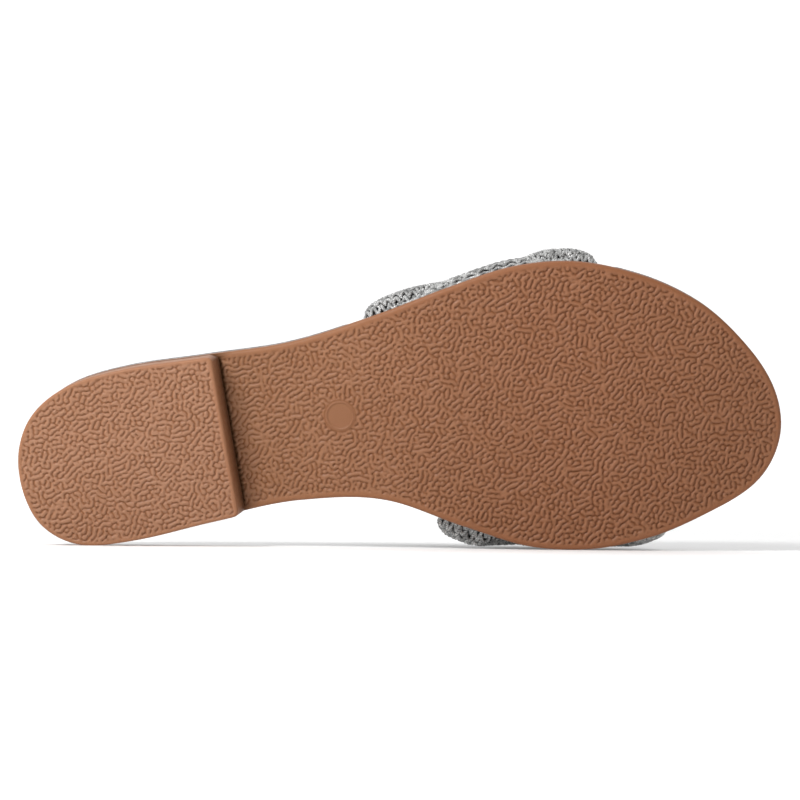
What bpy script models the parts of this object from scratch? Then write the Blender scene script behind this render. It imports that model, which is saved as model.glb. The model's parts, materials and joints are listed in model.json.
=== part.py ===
"""Right slide sandal with a plaited strap, lying on its inner side.

The pieces are modelled as the sandal stands, in millimetres: X runs from the back of the heel to the
toe, +Y is the inner side of the foot and Z is height over the ground. An empty then lays them on their
inner side, where the edge of the sole and the strap both touch Z = 0.
"""

import math
from collections import namedtuple

import bmesh
import bpy
import numpy as np
from mathutils import Matrix, Vector
from mathutils.bvhtree import BVHTree

MM = 0.001
GAP = 0.3

# Sole of a size 37 slide, from heel to toe
SOLE_LENGTH = 245.0
OUTSOLE_THICKNESS = 4.0
INSOLE_THICKNESS = 6.0
HEEL_HEIGHT = 9.0
TOE_SPRING = 7.0
WAIST_START = 70.0
BALL_START = 142.0
BALL_END = 186.0
SOLE_CELLS_ALONG = 36
SOLE_CELLS_ACROSS = 12

# Edges: the outsole's rim, the soft rim of the insole, the heel's ground edge, and what counts as an edge
OUTSOLE_ROUNDING = 0.9
INSOLE_ROUNDING = 1.8
HEEL_ROUNDING = 1.0
SHARP_EDGE = math.radians(50)

# Heel block: its front face is skewed to the foot and leans back towards the ground
BREAST_OUTER = 66.4
BREAST_INNER = 71.4
BREAST_DRAFT = 1.4
HEEL_POINTS_ROUND = 44
HEEL_POINTS_BREAST = 12

# Strap: a lining wall, turned in under the insole at both roots, with three strands plaited over it
WALL_THICKNESS = 2.0
FLANGE_WIDTH = 11.0
ROOT_FILLET = 0.5
INSOLE_NOTCH = 2.0
NOTCH_FADE = 8.0
WALL_EDGE = 0.12
STRAP_WIDTH = 72.0
STRAP_LENGTH = 142.0
STRAND_WIDTH = 29.0
STRAND_THICKNESS = 3.0
STRAND_RISE = 2.2
STRAND_SWAY = 0.3
STRAND_DOME = 3.2
PLAIT_TURNS = 1.0
ROOT_FADE = 0.16
END_ROUNDING = 5.0
END_DROP = 0.8
WALL_CELLS_ALONG = 40
WALL_CELLS_ACROSS = 10
STRAND_CELLS = 44
STRAND_TOP_POINTS = 9
STRAND_BASE_POINTS = 5

# Room for the strap's flanges under the insole: past its edge, under its seat, beside the lining
RECESS_REACH = 6.0
RECESS_DEPTH = 1.0
RECESS_SIDE = 0.02
RECESS_CELLS = 16

# Y of the sole's edge on the outer and the inner side of the foot
Width = namedtuple("Width", "station outer inner")
OUTLINE = (
    Width(0.0, 0.0, 0.0),
    Width(6.0, -17.0, 19.1),
    Width(18.0, -25.4, 26.1),
    Width(36.0, -29.7, 25.7),
    Width(62.0, -31.9, 21.1),
    Width(90.0, -34.6, 16.9),
    Width(118.0, -41.9, 17.9),
    Width(142.0, -49.5, 27.4),
    Width(162.0, -54.7, 34.9),
    Width(180.0, -55.4, 37.0),
    Width(200.0, -50.6, 34.6),
    Width(220.0, -40.2, 27.8),
    Width(236.0, -23.6, 19.2),
    Width(245.0, 0.0, 0.0),
)

# Sections over the foot, from the strap's back edge (0) to its front edge (1): where each root stands,
# how high the lining rises over its roots, and how far each side swells outwards
Rib = namedtuple("Rib", "place outer_station inner_station instep outer_swell inner_swell")
RIBS = (
    Rib(0.0, 115.0, 135.5, 56.0, 0.5, 4.0),
    Rib(0.5, 151.5, 170.0, 49.0, -1.5, 0.8),
    Rib(1.0, 188.0, 204.5, 41.0, 0.5, -3.0),
)

# One section over the foot, as a share of its half width and of its height
Fold = namedtuple("Fold", "across rise")
ARCH = (
    Fold(-1.00, 0.00),
    Fold(-1.00, 0.10),
    Fold(-0.93, 0.42),
    Fold(-0.66, 0.83),
    Fold(0.08, 1.00),
    Fold(0.74, 0.78),
    Fold(0.99, 0.40),
    Fold(1.00, 0.10),
    Fold(1.00, 0.00),
)

# The three strands: the angle at which each starts its sway, the level of its underside inside the
# lining wall, and how it is gathered at its outer and its inner root
Strand = namedtuple("Strand", "name phase underside outer inner")
Root = namedtuple("Root", "place half_width height")
STRANDS = (
    Strand("back_strand", math.radians(264), 0.4, Root(0.13, 0.14, 4.4), Root(0.11, 0.13, 8.4)),
    Strand("cross_strand", math.radians(24), 0.8, Root(0.88, 0.13, 4.8), Root(0.50, 0.30, 2.0)),
    Strand("front_strand", math.radians(144), 1.2, Root(0.50, 0.28, 2.4), Root(0.93, 0.10, 4.2)),
)

# Finish of each piece: linear colour, roughness, metallic
Finish = namedtuple("Finish", "name colour roughness metallic")
TAN_RUBBER = Finish("tan_rubber", (0.33, 0.16, 0.09), 0.55, 0.0)
HEEL_RUBBER = Finish("heel_rubber", (0.38, 0.19, 0.11), 0.55, 0.0)
GREY_GLITTER_FABRIC = Finish("grey_glitter_fabric", (0.36, 0.36, 0.35), 0.7, 0.2)
SILVER_KNIT = Finish("silver_knit", (0.34, 0.34, 0.33), 0.45, 0.5)


def curve_through(knots, values, at):
    """Cubic curve through the rows of a table, each row's slope taken from its neighbours."""
    slopes = np.gradient(values, knots)
    row = int(np.clip(np.searchsorted(knots, at) - 1, 0, len(knots) - 2))
    span = knots[row + 1] - knots[row]
    t = (at - knots[row]) / span
    start = (1 + 2 * t) * (1 - t) ** 2 * values[row] + t * (1 - t) ** 2 * span * slopes[row]
    end = t * t * (3 - 2 * t) * values[row + 1] + t * t * (t - 1) * span * slopes[row + 1]
    return float(start + end)


def smooth_step(t):
    t = min(max(t, 0.0), 1.0)
    return t * t * (3 - 2 * t)


def end_angle(station):
    """Angle whose equal steps crowd towards heel and toe, which rounds both ends of the outline."""
    return math.acos(min(max(1 - 2 * station / SOLE_LENGTH, -1.0), 1.0))


OUTLINE_ANGLES = [end_angle(row.station) for row in OUTLINE]
OUTLINE_SIDES = {side: [getattr(row, side) for row in OUTLINE] for side in ("outer", "inner")}


def outline(station, side):
    """Y of the sole's edge."""
    return curve_through(OUTLINE_ANGLES, OUTLINE_SIDES[side], end_angle(station))


def tread_height(station):
    """Underside of the outsole: level on the heel, down the waist, flat at the ball, up at the toe."""
    if station < BALL_START:
        return HEEL_HEIGHT * smooth_step((BALL_START - station) / (BALL_START - WAIST_START))
    return TOE_SPRING * max(0.0, (station - BALL_END) / (SOLE_LENGTH - BALL_END)) ** 2


def seat_height(station):
    """Level on which the insole and the strap's flanges lie, just over the outsole."""
    return tread_height(station) + OUTSOLE_THICKNESS + GAP


def flush_edge(station, side):
    return 0.0


def notched_edge(station, side):
    """How far the insole's edge is drawn in, to let the strap pass between it and the outsole's rim."""
    roots = [getattr(rib, side + "_station") for rib in RIBS]
    before = smooth_step((roots[0] - station) / NOTCH_FADE)
    after = smooth_step((station - roots[-1]) / NOTCH_FADE)
    return INSOLE_NOTCH * (1 - max(before, after))


def finish_material(finish):
    material = bpy.data.materials.new(finish.name)
    material.use_nodes = True
    shader = material.node_tree.nodes["Principled BSDF"]
    shader.inputs["Base Color"].default_value = (*finish.colour, 1.0)
    shader.inputs["Roughness"].default_value = finish.roughness
    shader.inputs["Metallic"].default_value = finish.metallic
    return material


def new_collection(name):
    collection = bpy.data.collections.new(name)
    bpy.context.scene.collection.children.link(collection)
    return collection


def add_object(name, shape, collection):
    """Closes a bmesh that was shaped in millimetres and links it as an object in metres."""
    bmesh.ops.scale(shape, vec=(MM, MM, MM), verts=shape.verts)
    bmesh.ops.recalc_face_normals(shape, faces=shape.faces)
    mesh = bpy.data.meshes.new(name)
    shape.to_mesh(mesh)
    shape.free()
    mesh.shade_smooth()
    obj = bpy.data.objects.new(name, mesh)
    collection.objects.link(obj)
    return obj


def round_edges(obj, width, segments):
    bevel = obj.modifiers.new("rounded_edges", "BEVEL")
    bevel.width = width * MM
    bevel.segments = segments
    bevel.limit_method = "ANGLE"
    bevel.angle_limit = SHARP_EDGE


def flat_facets(obj):
    """Splits twisted four-sided cells into flat triangles, which join and cut cleanly."""
    obj.modifiers.new("flat_facets", "TRIANGULATE")


def extrude_up(shape, height_of):
    """Gives a flat sheet its thickness: a copy of it is lifted straight up to height_of each point."""
    extruded = bmesh.ops.extrude_face_region(shape, geom=shape.faces[:])
    for vert in extruded["geom"]:
        if isinstance(vert, bmesh.types.BMVert):
            vert.co.z = height_of(vert.co)


def sole_layer(name, lift, thickness, setback, collection):
    """A slab with the sole's outline that follows its line from heel to toe.

    A square grid is rounded to a disc, and the disc's chords are then stretched between the two edges.
    """
    shape = bmesh.new()
    bmesh.ops.create_grid(shape, x_segments=SOLE_CELLS_ALONG, y_segments=SOLE_CELLS_ACROSS, size=1)
    for vert in shape.verts:
        along = vert.co.x * math.sqrt(1 - vert.co.y ** 2 / 2)
        across = vert.co.y * math.sqrt(1 - vert.co.x ** 2 / 2)
        chord = math.sqrt(max(1 - along ** 2, 0.0))
        share = across / chord if chord > 1e-6 else 0.0
        station = SOLE_LENGTH * (1 + along) / 2
        outer = outline(station, "outer") + setback(station, "outer")
        inner = outline(station, "inner") - setback(station, "inner")
        side = outer + (inner - outer) * (1 + share) / 2
        vert.co = (station, side, tread_height(station) + lift)
    extrude_up(shape, lambda point: point.z + thickness)
    return add_object(name, shape, collection)


def heel_block(collection):
    """The low heel under the seat: the sole's own edge round the back, a straight breast in front."""
    points = HEEL_POINTS_ROUND + HEEL_POINTS_BREAST
    corners = {
        "outer": Vector((BREAST_OUTER, outline(BREAST_OUTER, "outer"), 0)),
        "inner": Vector((BREAST_INNER, outline(BREAST_INNER, "inner"), 0)),
    }
    shape = bmesh.new()
    bmesh.ops.create_circle(shape, cap_ends=True, segments=points, radius=1)
    shape.verts.ensure_lookup_table()
    breast = []
    for index, vert in enumerate(shape.verts):
        if index <= HEEL_POINTS_ROUND:
            turn = 2 * index / HEEL_POINTS_ROUND - 1
            side = "outer" if turn < 0 else "inner"
            angle = abs(turn) * end_angle(corners[side].x)
            station = SOLE_LENGTH * (1 - math.cos(angle)) / 2
            vert.co = (station, outline(station, side), 0)
        else:
            share = (index - HEEL_POINTS_ROUND) / HEEL_POINTS_BREAST
            vert.co = corners["inner"].lerp(corners["outer"], share)
        if index == 0 or index >= HEEL_POINTS_ROUND:
            breast.append(vert)
    extrude_up(shape, lambda point: HEEL_HEIGHT - GAP)
    for vert in breast:
        vert.co.x -= BREAST_DRAFT
    heel = add_object("heel", shape, collection)
    round_edges(heel, HEEL_ROUNDING, 2)
    return heel


def rib_value(place, column):
    """One column of the strap's sections, between its back edge and its front edge."""
    return curve_through([rib.place for rib in RIBS], [getattr(rib, column) for rib in RIBS], place)


def strap_root(place, side):
    """Where the lining turns up at the insole's edge."""
    station = rib_value(place, side + "_station")
    inwards = INSOLE_NOTCH - GAP
    edge = outline(station, side) + (inwards if side == "outer" else -inwards)
    return np.array((station, edge, seat_height(station) + WALL_THICKNESS))


def lining_point(along, place):
    """Inner face of the strap: along runs over the foot from the outer root (0) to the inner one (1)."""
    outer = strap_root(place, "outer")
    inner = strap_root(place, "inner")
    half = (inner - outer) / 2
    instep = rib_value(place, "instep")
    span = np.linalg.norm(half)
    steps = [
        math.hypot((b.across - a.across) * span, (b.rise - a.rise) * instep)
        for a, b in zip(ARCH, ARCH[1:])
    ]
    knots = np.concatenate(([0.0], np.cumsum(steps))) / sum(steps)
    across = curve_through(knots, [fold.across for fold in ARCH], along)
    rise = curve_through(knots, [fold.rise for fold in ARCH], along)
    swell = rib_value(place, "inner_swell" if across > 0 else "outer_swell")
    across += across * swell / span * (4 * rise * (1 - rise)) ** 2
    return (outer + inner) / 2 + half * across + np.array((0, 0, rise * instep))


def outward(along, place):
    """Unit normal of the lining, away from the foot."""
    step = 0.002
    before = max(along - step, 0.0)
    after = min(along + step, 1.0)
    over = lining_point(after, place) - lining_point(before, place)
    forward = lining_point(along, place + step) - lining_point(along, place - step)
    normal = np.cross(forward, over)
    return normal / np.linalg.norm(normal)


def wall_section(place):
    """The lining's section: flange under the insole, fillet, arch over the foot, fillet and flange."""
    outer = strap_root(place, "outer")
    inner = strap_root(place, "inner")
    inwards = (inner - outer) / np.linalg.norm(inner - outer)
    up = np.array((0.0, 0.0, 1.0))
    corner = ROOT_FILLET * (1 - math.sqrt(0.5))

    def flange(root, direction):
        points = []
        for width in (FLANGE_WIDTH, FLANGE_WIDTH / 2, ROOT_FILLET):
            point = root + direction * width
            point[2] = seat_height(point[0]) + WALL_THICKNESS
            points.append(point)
        points.append(root + (direction + up) * corner)
        return points

    first = ROOT_FILLET / STRAP_LENGTH
    arch = [lining_point(along, place) for along in np.linspace(first, 1 - first, WALL_CELLS_ALONG)]
    return flange(outer, inwards) + arch + flange(inner, -inwards)[::-1]


def lining_wall(collection):
    """The strap's lining as one sheet, thickened outwards."""
    rows = [
        wall_section(place)
        for place in np.linspace(WALL_EDGE, 1 - WALL_EDGE, WALL_CELLS_ACROSS + 1)
    ]
    last = len(rows[0]) - 1
    shape = bmesh.new()
    bmesh.ops.create_grid(shape, x_segments=last, y_segments=WALL_CELLS_ACROSS, size=1)
    for vert in shape.verts:
        column = round((vert.co.x + 1) / 2 * last)
        row = round((vert.co.y + 1) / 2 * WALL_CELLS_ACROSS)
        vert.co = rows[row][column]
    upper = add_object("upper", shape, collection)
    wall = upper.modifiers.new("wall", "SOLIDIFY")
    wall.thickness = WALL_THICKNESS * MM
    wall.offset = 1.0
    wall.use_even_offset = True
    flat_facets(upper)
    return upper


def strand_section(strand, along):
    """Middle, half width, and height over the lining of a strand, where it is along the strap."""
    turn = 2 * math.pi * PLAIT_TURNS * along + strand.phase
    slope = STRAND_SWAY * STRAP_WIDTH * 2 * math.pi * PLAIT_TURNS * math.cos(turn) / STRAP_LENGTH
    from_root = min(along, 1 - along)
    free = smooth_step(from_root / ROOT_FADE)
    root = strand.outer if along < 0.5 else strand.inner
    taper = min(from_root * STRAP_LENGTH / END_ROUNDING, 1.0)

    def loosened(gathered, plaited):
        return gathered + (plaited - gathered) * free

    middle = loosened(root.place, 0.5 + STRAND_SWAY * math.sin(turn))
    half_width = loosened(root.half_width, STRAND_WIDTH / 2 * math.hypot(1, slope) / STRAP_WIDTH)
    height = loosened(root.height, STRAND_THICKNESS + STRAND_RISE * (1 - math.sin(2 * turn)) / 2)
    return middle, half_width, height * math.sqrt(1 - END_DROP * (1 - taper) ** 2)


def plait_strand(strand, collection):
    """One strand: a tube of many rings, each ring domed on top and buried in the lining below."""
    sides = STRAND_TOP_POINTS + STRAND_BASE_POINTS
    shape = bmesh.new()
    bmesh.ops.create_cone(shape, cap_ends=True, segments=sides, radius1=1, radius2=1, depth=2)
    lengthwise = [edge for edge in shape.edges if abs(edge.verts[0].co.z - edge.verts[1].co.z) > 1]
    bmesh.ops.subdivide_edges(shape, edges=lengthwise, cuts=STRAND_CELLS - 1)
    for vert in shape.verts:
        along = (vert.co.z + 1) / 2
        corner = round(math.atan2(vert.co.x, vert.co.y) / (2 * math.pi) * sides) % sides
        middle, half_width, height = strand_section(strand, along)
        if corner < STRAND_TOP_POINTS:
            angle = math.pi * corner / (STRAND_TOP_POINTS - 1)
            share = math.copysign(abs(math.cos(angle)) ** (2 / STRAND_DOME), math.cos(angle))
            lift = height * max(math.sin(angle), 0.0) ** (2 / STRAND_DOME)
        else:
            share = -1 + 2 * (corner - STRAND_TOP_POINTS + 1) / (STRAND_BASE_POINTS + 1)
            lift = 0.0
        place = middle + share * half_width
        vert.co = lining_point(along, place) + outward(along, place) * (strand.underside + lift)
    tube = add_object(strand.name, shape, collection)
    flat_facets(tube)
    return tube


def braided_upper(collection, helpers):
    """Lining and strands joined into one wall."""
    upper = lining_wall(collection)
    for strand in STRANDS:
        tube = plait_strand(strand, helpers)
        join = upper.modifiers.new(strand.name, "BOOLEAN")
        join.operation = "UNION"
        join.solver = "EXACT"
        join.object = tube
    return upper


def flange_recess(side, helpers):
    """Cutter that makes room under the insole for one of the strap's flanges."""
    shape = bmesh.new()
    bmesh.ops.create_grid(shape, x_segments=RECESS_CELLS, y_segments=2, size=1)
    margin = WALL_EDGE - RECESS_SIDE
    for vert in shape.verts:
        place = margin + (1 - 2 * margin) * (vert.co.x + 1) / 2
        outer = strap_root(place, "outer")
        inner = strap_root(place, "inner")
        inwards = (inner - outer) / np.linalg.norm(inner - outer)
        root, direction = (outer, inwards) if side == "outer" else (inner, -inwards)
        depths = (-RECESS_REACH, 0.0, FLANGE_WIDTH + GAP)
        point = root + direction * depths[round(vert.co.y + 1)]
        vert.co = (point[0], point[1], seat_height(point[0]) - RECESS_DEPTH)
    extrude_up(shape, lambda point: seat_height(point.x) + WALL_THICKNESS + GAP)
    cutter = add_object(side + "_flange_recess", shape, helpers)
    flat_facets(cutter)
    return cutter


def padded_insole(collection, helpers):
    insole = sole_layer(
        "insole", OUTSOLE_THICKNESS + GAP, INSOLE_THICKNESS, notched_edge, collection
    )
    round_edges(insole, INSOLE_ROUNDING, 2)
    flat_facets(insole)
    for side in ("outer", "inner"):
        cut = insole.modifiers.new(side + "_flange_recess", "BOOLEAN")
        cut.operation = "DIFFERENCE"
        cut.solver = "EXACT"
        cut.object = flange_recess(side, helpers)
    return insole


def solid_points(pieces):
    """Every piece's finished corners, and the middle of their solid matter.

    Each triangle and the origin span a tetrahedron, whose middle lies at 3/4 of the triangle's own.
    """
    graph = bpy.context.evaluated_depsgraph_get()
    corners = []
    moment = np.zeros(3)
    volume = 0.0
    for piece in pieces:
        mesh = piece.evaluated_get(graph).data
        points = np.array([vert.co for vert in mesh.vertices])
        mesh.calc_loop_triangles()
        triangles = points[np.array([tri.vertices for tri in mesh.loop_triangles])]
        shares = np.linalg.det(triangles) / 6
        moment += (triangles.mean(axis=1) * 0.75 * shares[:, None]).sum(axis=0)
        volume += shares.sum()
        corners.append(points)
    return np.concatenate(corners), moment / volume


def lie_on_inner_side(pieces, helpers):
    """Empty that turns the sandal on the face of its hull that lies under its balance point."""
    points, balance = solid_points(pieces)
    hull = bmesh.new()
    for point in points:
        hull.verts.new(point)
    bmesh.ops.convex_hull(hull, input=hull.verts)
    resting = BVHTree.FromBMesh(hull).ray_cast(Vector(balance), Vector((0, 1, 0)))[1]
    hull.free()
    up = np.array(-resting)
    ahead = np.array((1.0, 0.0, 0.0)) - up * up[0]
    ahead /= np.linalg.norm(ahead)
    turn = np.stack((ahead, np.cross(up, ahead), up))
    placed = points @ turn.T
    low, high = placed.min(axis=0), placed.max(axis=0)
    pose = Matrix(turn.tolist()).to_4x4()
    pose.translation = (-(low[0] + high[0]) / 2, -(low[1] + high[1]) / 2, -low[2])
    holder = bpy.data.objects.new("lying_pose", None)
    bpy.context.scene.collection.objects.link(holder)
    holder.matrix_world = pose
    for part in (*pieces, *helpers):
        part.parent = holder


def main():
    for obj in list(bpy.data.objects):
        bpy.data.objects.remove(obj)
    sandal = new_collection("braided_sandal")
    helpers = new_collection("cutters")

    outsole = sole_layer("outsole", 0.0, OUTSOLE_THICKNESS, flush_edge, sandal)
    round_edges(outsole, OUTSOLE_ROUNDING, 2)
    heel = heel_block(sandal)
    insole = padded_insole(sandal, helpers)
    upper = braided_upper(sandal, helpers)
    pieces = (outsole, heel, insole, upper)
    finishes = (TAN_RUBBER, HEEL_RUBBER, GREY_GLITTER_FABRIC, SILVER_KNIT)
    for piece, finish in zip(pieces, finishes):
        piece.data.materials.append(finish_material(finish))
    for helper in helpers.objects:
        helper.hide_render = True
        helper.display_type = "WIRE"
    bpy.context.view_layer.update()
    lie_on_inner_side(pieces, helpers.objects)


main()
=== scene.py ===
# %% [markdown]
# # A braided slide sandal that shows its sole
#
# The sandal lies on its inner side, so that the camera looks at the tread. Its plain solids are made
# elsewhere: outsole, heel, insole and a plaited strap. This lesson dresses each solid with a finished
# piece: a moulded worm grain on the rubber, a padded insole in glitter cloth, and a real knit of yarn on
# the three strands of the strap.
#
# The solids are loaded first and never moved.

# %% Load the solids
import json
import math
from collections import namedtuple

import bmesh
import bpy
import numpy as np
from mathutils import Matrix, Vector
from mathutils.kdtree import KDTree


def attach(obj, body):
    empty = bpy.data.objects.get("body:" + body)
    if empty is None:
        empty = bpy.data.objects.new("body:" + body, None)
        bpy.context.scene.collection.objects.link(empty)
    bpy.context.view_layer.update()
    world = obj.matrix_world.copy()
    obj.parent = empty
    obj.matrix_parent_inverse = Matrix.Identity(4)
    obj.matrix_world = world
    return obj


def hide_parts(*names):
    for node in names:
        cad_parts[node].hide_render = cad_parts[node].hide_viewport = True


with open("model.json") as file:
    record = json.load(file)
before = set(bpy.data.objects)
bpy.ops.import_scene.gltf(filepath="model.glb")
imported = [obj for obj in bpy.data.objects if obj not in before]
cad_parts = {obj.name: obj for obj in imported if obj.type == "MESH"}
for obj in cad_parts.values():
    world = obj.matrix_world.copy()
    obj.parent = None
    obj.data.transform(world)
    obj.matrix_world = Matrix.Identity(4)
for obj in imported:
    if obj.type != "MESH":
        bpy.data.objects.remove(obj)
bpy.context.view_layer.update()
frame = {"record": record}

# %% [markdown]
# ## The sandal's own axes
#
# A shoemaker measures a sole as it stands: from heel to toe, across the foot and up from the ground. In
# the scene the sandal lies on its side, so those directions are tilted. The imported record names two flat
# spots on the ground face, under the heel and under the ball. We know where both lie on the sole, which
# is enough to find the turn between the two sets of axes. Everything below is made in the sandal's own
# millimetres and then laid in place by this one matrix.

# %% Find how the sandal lies
MM = 0.001
HEEL_SPOT = Vector((34.0, -3.0, 0.0))
BALL_SPOT = Vector((164.0, -9.0, 0.0))


def axes_from(ahead, up):
    """Three square axes as the columns of a matrix: ahead, to the left of it, and up."""
    ahead = ahead.normalized()
    up = (up - ahead * up.dot(ahead)).normalized()
    return Matrix((ahead, up.cross(ahead), up)).transposed()


mounts = {mount["name"]: mount for mount in frame["record"]["mounts"]}
heel_place = Vector(mounts["heel_ground_face"]["pos_m"])
ball_place = Vector(mounts["forepart_ground_face"]["pos_m"])
up_from_ground = -Vector(mounts["heel_ground_face"]["axis"])
standing = axes_from(BALL_SPOT - HEEL_SPOT, Vector((0, 0, 1)))
lying = axes_from(ball_place - heel_place, up_from_ground)
SHOE_TO_WORLD = (
    Matrix.Translation(heel_place)
    @ (lying @ standing.inverted()).to_4x4()
    @ Matrix.Scale(MM, 4)
    @ Matrix.Translation(-HEEL_SPOT)
)
print("the ball's spot is off by", (SHOE_TO_WORLD @ BALL_SPOT - ball_place).length / MM, "mm")

# %% [markdown]
# ## From a shape to a finished piece
#
# Each piece starts as a bmesh in the sandal's millimetres. One helper lays it in place, gives it its
# material, hangs it on the body it moves with and hides the solid it stands for.

# %% Lay a shape in place as a finished piece


def set_points(shape, points):
    """Moves every vertex of a shape to its row in an array."""
    for vert, point in zip(shape.verts, points):
        vert.co = point


def finish_piece(name, shape, node, material):
    bmesh.ops.recalc_face_normals(shape, faces=shape.faces)
    bmesh.ops.transform(shape, matrix=SHOE_TO_WORLD, verts=shape.verts)
    mesh = bpy.data.meshes.new(name)
    shape.to_mesh(mesh)
    shape.free()
    mesh.shade_smooth()
    mesh.materials.append(material)
    piece = bpy.data.objects.new(name, mesh)
    bpy.context.scene.collection.objects.link(piece)
    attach(piece, "root")
    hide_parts(node)
    mesh.calc_loop_triangles()
    print(name, "has", len(mesh.loop_triangles), "triangles")
    return piece


print("a millimetre of the sandal is", round(SHOE_TO_WORLD.to_scale()[0], 6), "m in the frame")

# %% [markdown]
# ## The outline of the sole
#
# The edge of the sole is a smooth line through a dozen widths, measured on the outer and on the inner
# side of the foot. Equal steps of an angle, instead of equal steps of length, crowd the points towards
# heel and toe, and that rounds both ends. The same table shaped the solids, so the dressed sole has
# exactly their edge.

# %% Widths and edge line of the sole
SOLE_LENGTH = 245.0
Width = namedtuple("Width", "station outer inner")
OUTLINE = (
    Width(0.0, 0.0, 0.0),
    Width(6.0, -17.0, 19.1),
    Width(18.0, -25.4, 26.1),
    Width(36.0, -29.7, 25.7),
    Width(62.0, -31.9, 21.1),
    Width(90.0, -34.6, 16.9),
    Width(118.0, -41.9, 17.9),
    Width(142.0, -49.5, 27.4),
    Width(162.0, -54.7, 34.9),
    Width(180.0, -55.4, 37.0),
    Width(200.0, -50.6, 34.6),
    Width(220.0, -40.2, 27.8),
    Width(236.0, -23.6, 19.2),
    Width(245.0, 0.0, 0.0),
)


def curve_through(knots, values, at):
    """Cubic curve through the rows of a table, each row's slope taken from its neighbours."""
    knots = np.asarray(knots, float)
    values = np.asarray(values, float)
    slopes = np.gradient(values, knots)
    row = np.clip(np.searchsorted(knots, at) - 1, 0, len(knots) - 2)
    span = knots[row + 1] - knots[row]
    t = (at - knots[row]) / span
    start = (1 + 2 * t) * (1 - t) ** 2 * values[row] + t * (1 - t) ** 2 * span * slopes[row]
    end = t * t * (3 - 2 * t) * values[row + 1] + t * t * (t - 1) * span * slopes[row + 1]
    return start + end


def end_angle(station):
    return np.arccos(np.clip(1 - 2 * np.asarray(station, float) / SOLE_LENGTH, -1, 1))


def sole_edge(station, side):
    """Y of the sole's edge on the outer or the inner side."""
    angles = end_angle([row.station for row in OUTLINE])
    return curve_through(angles, [getattr(row, side) for row in OUTLINE], end_angle(station))


def even_loop(points, step, softness=0.0):
    """A closed line with points at even steps; softness rounds its corners over that many mm."""
    closed = np.vstack((points, points[:1]))
    lengths = np.concatenate(([0.0], np.cumsum(np.linalg.norm(np.diff(closed, axis=0), axis=1))))
    count = int(lengths[-1] / step)
    at = np.arange(count) * lengths[-1] / count
    loop = np.stack([np.interp(at, lengths, closed[:, axis]) for axis in (0, 1)], axis=1)
    waves = 2 * np.pi * np.fft.fftfreq(count, lengths[-1] / count)
    soft = np.exp(-((waves * softness) ** 2) / 2)
    return np.fft.ifft(np.fft.fft(loop, axis=0) * soft[:, None], axis=0).real


EDGE_STEP = 0.25
EDGE_SAMPLES = 900
outer_stations = SOLE_LENGTH * (1 - np.cos(np.linspace(0, np.pi, EDGE_SAMPLES))) / 2
inner_stations = outer_stations[-2:0:-1]
outer_edge = np.stack((outer_stations, sole_edge(outer_stations, "outer")), axis=1)
inner_edge = np.stack((inner_stations, sole_edge(inner_stations, "inner")), axis=1)
sole_loop = even_loop(np.concatenate((outer_edge, inner_edge)), EDGE_STEP)
print("edge of the sole:", round(len(sole_loop) * EDGE_STEP), "mm round")

# %% [markdown]
# ## The line of the sole from heel to toe
#
# Seen from the side the tread is level on the heel, runs down the waist, lies flat at the ball and lifts
# a little at the toe. Each layer of the sole follows this line.

# %% Heights of the layers
GAP = 0.3
OUTSOLE_THICKNESS = 4.0
INSOLE_THICKNESS = 6.0
HEEL_HEIGHT = 9.0
TOE_SPRING = 7.0
WAIST_START = 70.0
BALL_START = 142.0
BALL_END = 186.0


def smooth_step(t):
    t = np.clip(t, 0.0, 1.0)
    return t * t * (3 - 2 * t)


def tread_height(station):
    waist = HEEL_HEIGHT * smooth_step((BALL_START - station) / (BALL_START - WAIST_START))
    toe = TOE_SPRING * np.clip((station - BALL_END) / (SOLE_LENGTH - BALL_END), 0, None) ** 2
    return waist + toe


def seat_height(station):
    """Level on which the insole lies, just over the outsole."""
    return tread_height(station) + OUTSOLE_THICKNESS + GAP


print("tread height at heel, waist, ball, toe:", tread_height(np.array([30, 106, 160, 245])).round(1))

# %% [markdown]
# ## The worm grain of the rubber
#
# The mould of such a sole is etched with a grain of short worms, dots and loops, parted by narrow
# grooves. It could be painted by hand or taken from a cell pattern, but cells look like leather, not like
# worms. Worms grow by themselves where a pattern likes one distance only: noise is filtered to waves of
# about that length, with a slight lean to one side, and a few steps of a growth rule (each wave grows,
# too high ones are held back) bend them into ridges that branch and end.

# %% Grow the ridges
GRAIN_CELL = 0.2
GRAIN_CELLS = (1280, 640)
GRAIN_BAND = 1.0
GRAIN_LEAN = 0.22
GRAIN_LEAN_ANGLE = math.radians(125)
GRAIN_START_HEIGHT = 0.35
GRAIN_STEPS = 5
GRAIN_STEP = 0.4
GRAIN_GROWTH = 0.4
GRAIN_DOTS = 0.8
wave_x = 2 * np.pi * np.fft.fftfreq(GRAIN_CELLS[0], GRAIN_CELL)[:, None]
wave_y = 2 * np.pi * np.fft.rfftfreq(GRAIN_CELLS[1], GRAIN_CELL)[None, :]


def from_waves(spectrum):
    return np.fft.irfft2(spectrum, s=GRAIN_CELLS)


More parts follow.
